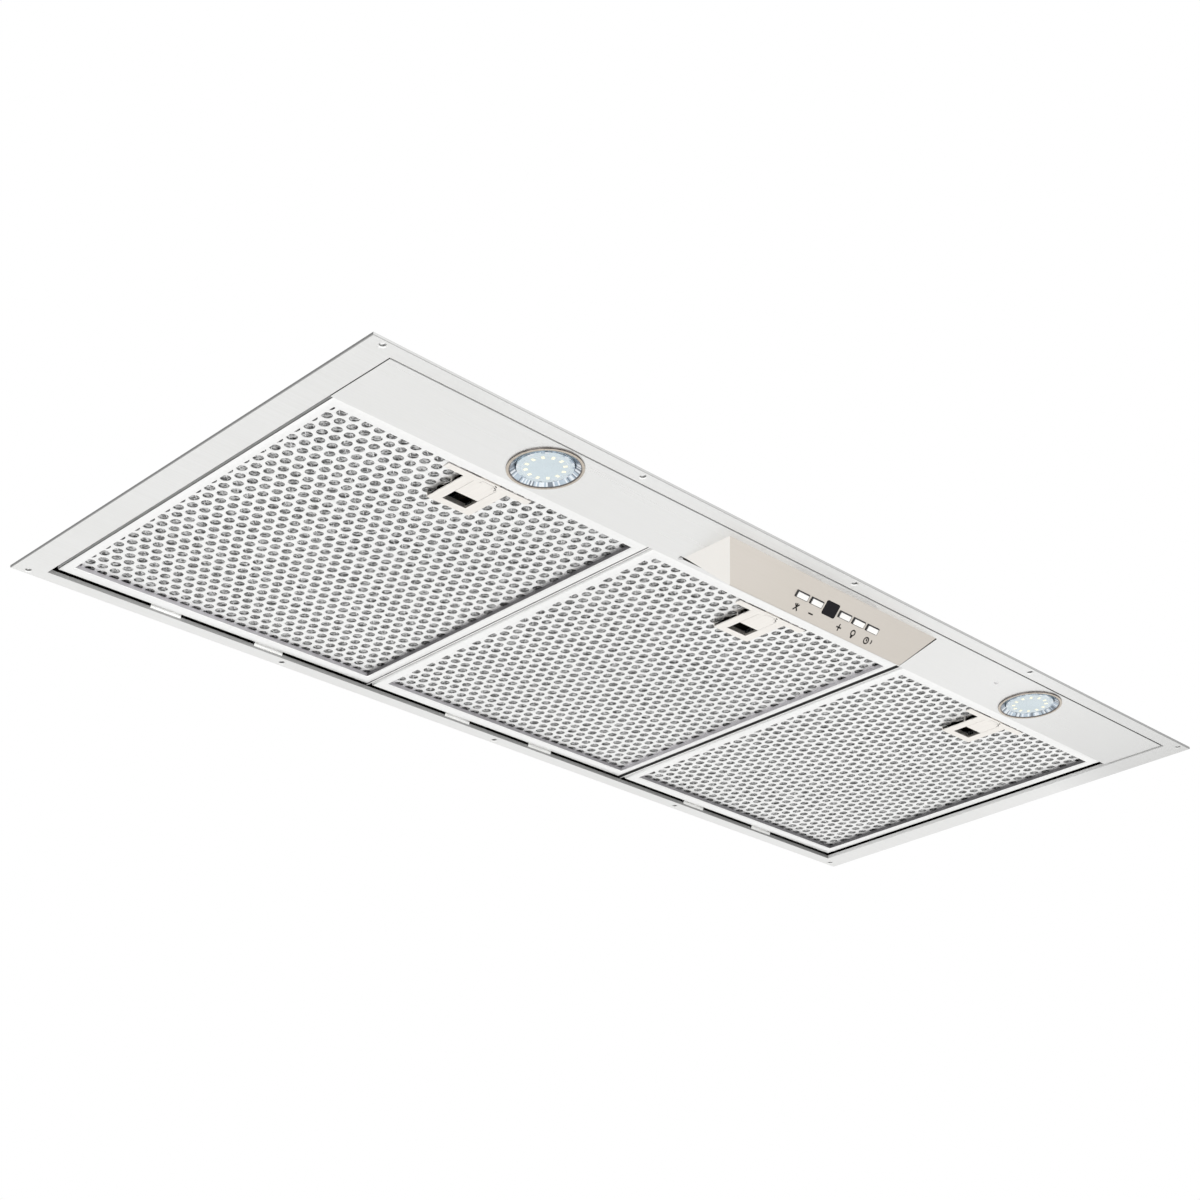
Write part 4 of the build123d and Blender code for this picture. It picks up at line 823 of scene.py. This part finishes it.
# ---------------------------------------------------------------- stage, light and camera
def stage_plane(name, half, z, hole=None):
    """A square plane round the object in metres, with a hole of given half sizes or without."""
    verts = [(-half, -half, z), (half, -half, z), (half, half, z), (-half, half, z)]
    faces = [[0, 1, 2, 3]]
    if hole:
        hx, hy = hole
        verts += [(-hx, -hy, z), (hx, -hy, z), (hx, hy, z), (-hx, hy, z)]
        faces = [[i, 4 + i, 4 + (i + 1) % 4, (i + 1) % 4] for i in range(4)]
    mesh = bpy.data.meshes.new(name)
    mesh.from_pydata(verts, [], faces)
    obj = bpy.data.objects.new(name, mesh)
    scene.collection.objects.link(obj)
    return obj


def clear_from_behind(mat, shown):
    """A shader that is seen on the front of its faces and is clear on their back."""
    facing = node(mat, "ShaderNodeNewGeometry")
    clear = node(mat, "ShaderNodeBsdfTransparent")
    return node(mat, "ShaderNodeMixShader",
                {0: facing.outputs["Backfacing"], 1: shown, 2: clear.outputs[0]}).outputs[0]


# a camera under the floor looks through it
floor = stage_plane("floor", 14.0, -1.05)
floor_mat = shader("floor_white", (0.94, 0.94, 0.935), 0.85)
floor_nodes = floor_mat.node_tree.nodes
one_sided = clear_from_behind(floor_mat, floor_nodes["Principled BSDF"].outputs[0])
floor_mat.node_tree.links.new(one_sided, floor_nodes["Material Output"].inputs[0])
floor.data.materials.append(floor_mat)

# the cabinet's underside round the flange, white to the camera and no part of the light
ceiling = stage_plane("ceiling", 9.0, 0.0004, (0.571, 0.2425))
ceiling_mat = bpy.data.materials.new("ceiling_white")
ceiling_mat.use_nodes = True
ceiling_mat.node_tree.nodes.clear()
white = node(ceiling_mat, "ShaderNodeEmission", {"Color": (1, 1, 1, 1), "Strength": 1.0})
node(ceiling_mat, "ShaderNodeOutputMaterial",
     {"Surface": clear_from_behind(ceiling_mat, white.outputs[0])})
ceiling.data.materials.append(ceiling_mat)
for ray in ("diffuse", "glossy", "transmission", "volume_scatter", "shadow"):
    setattr(ceiling, f"visible_{ray}", False)

# a world that gives light at one strength and is seen, also in metal and glass, at another
WORLD_LIGHT, WORLD_SEEN = 1.2, 1.0
world = bpy.data.worlds.new("studio")
scene.world = world
world.use_nodes = True
world.node_tree.nodes.clear()
rays = node(world, "ShaderNodeLightPath").outputs
seen = maths(world, "MAXIMUM", rays["Is Camera Ray"], rays["Is Glossy Ray"])
seen = maths(world, "MAXIMUM", seen, rays["Is Transmission Ray"])
strength = node(world, "ShaderNodeMapRange", {0: seen, 3: WORLD_LIGHT, 4: WORLD_SEEN})
back = node(world, "ShaderNodeBackground", {"Strength": strength.outputs[0]})
node(world, "ShaderNodeOutputWorld", {"Surface": back.outputs[0]})


def area_light(name, place, target, size, power):
    """A rectangular lamp at a place in metres, turned to its target."""
    data = bpy.data.lights.new(name, "AREA")
    data.shape = "RECTANGLE"
    data.size, data.size_y = size
    data.energy = power
    lamp = bpy.data.objects.new(name, data)
    lamp.location = place
    lamp.rotation_euler = (Vector(target) - Vector(place)).to_track_quat("-Z", "Y").to_euler()
    scene.collection.objects.link(lamp)


area_light("key_low_left", (-1.9, -0.6, -0.98), (0, 0, 0), (1.4, 1.4), 9.0)
area_light("fill_low_front", (0.6, -1.9, -0.9), (0, 0, 0), (1.6, 1.0), 5.0)
area_light("key_top", (-1.4, -1.8, 2.2), (0, 0, 0.15), (1.6, 1.6), 45.0)

# the photograph's view; the columns are to the right, up, backwards and the camera's place
camera_data = bpy.data.cameras.new("camera")
camera_data.lens = 63.01
camera_data.sensor_width = 36.0
camera = bpy.data.objects.new("camera", camera_data)
camera.matrix_world = Matrix(((0.70230, -0.31075, -0.64048, -1.41089),
                              (-0.71149, -0.33631, -0.61699, -1.27629),
                              (-0.02367, 0.88900, -0.45729, -0.90219),
                              (0, 0, 0, 1)))
scene.collection.objects.link(camera)
scene.camera = camera
scene.view_settings.view_transform = "Standard"
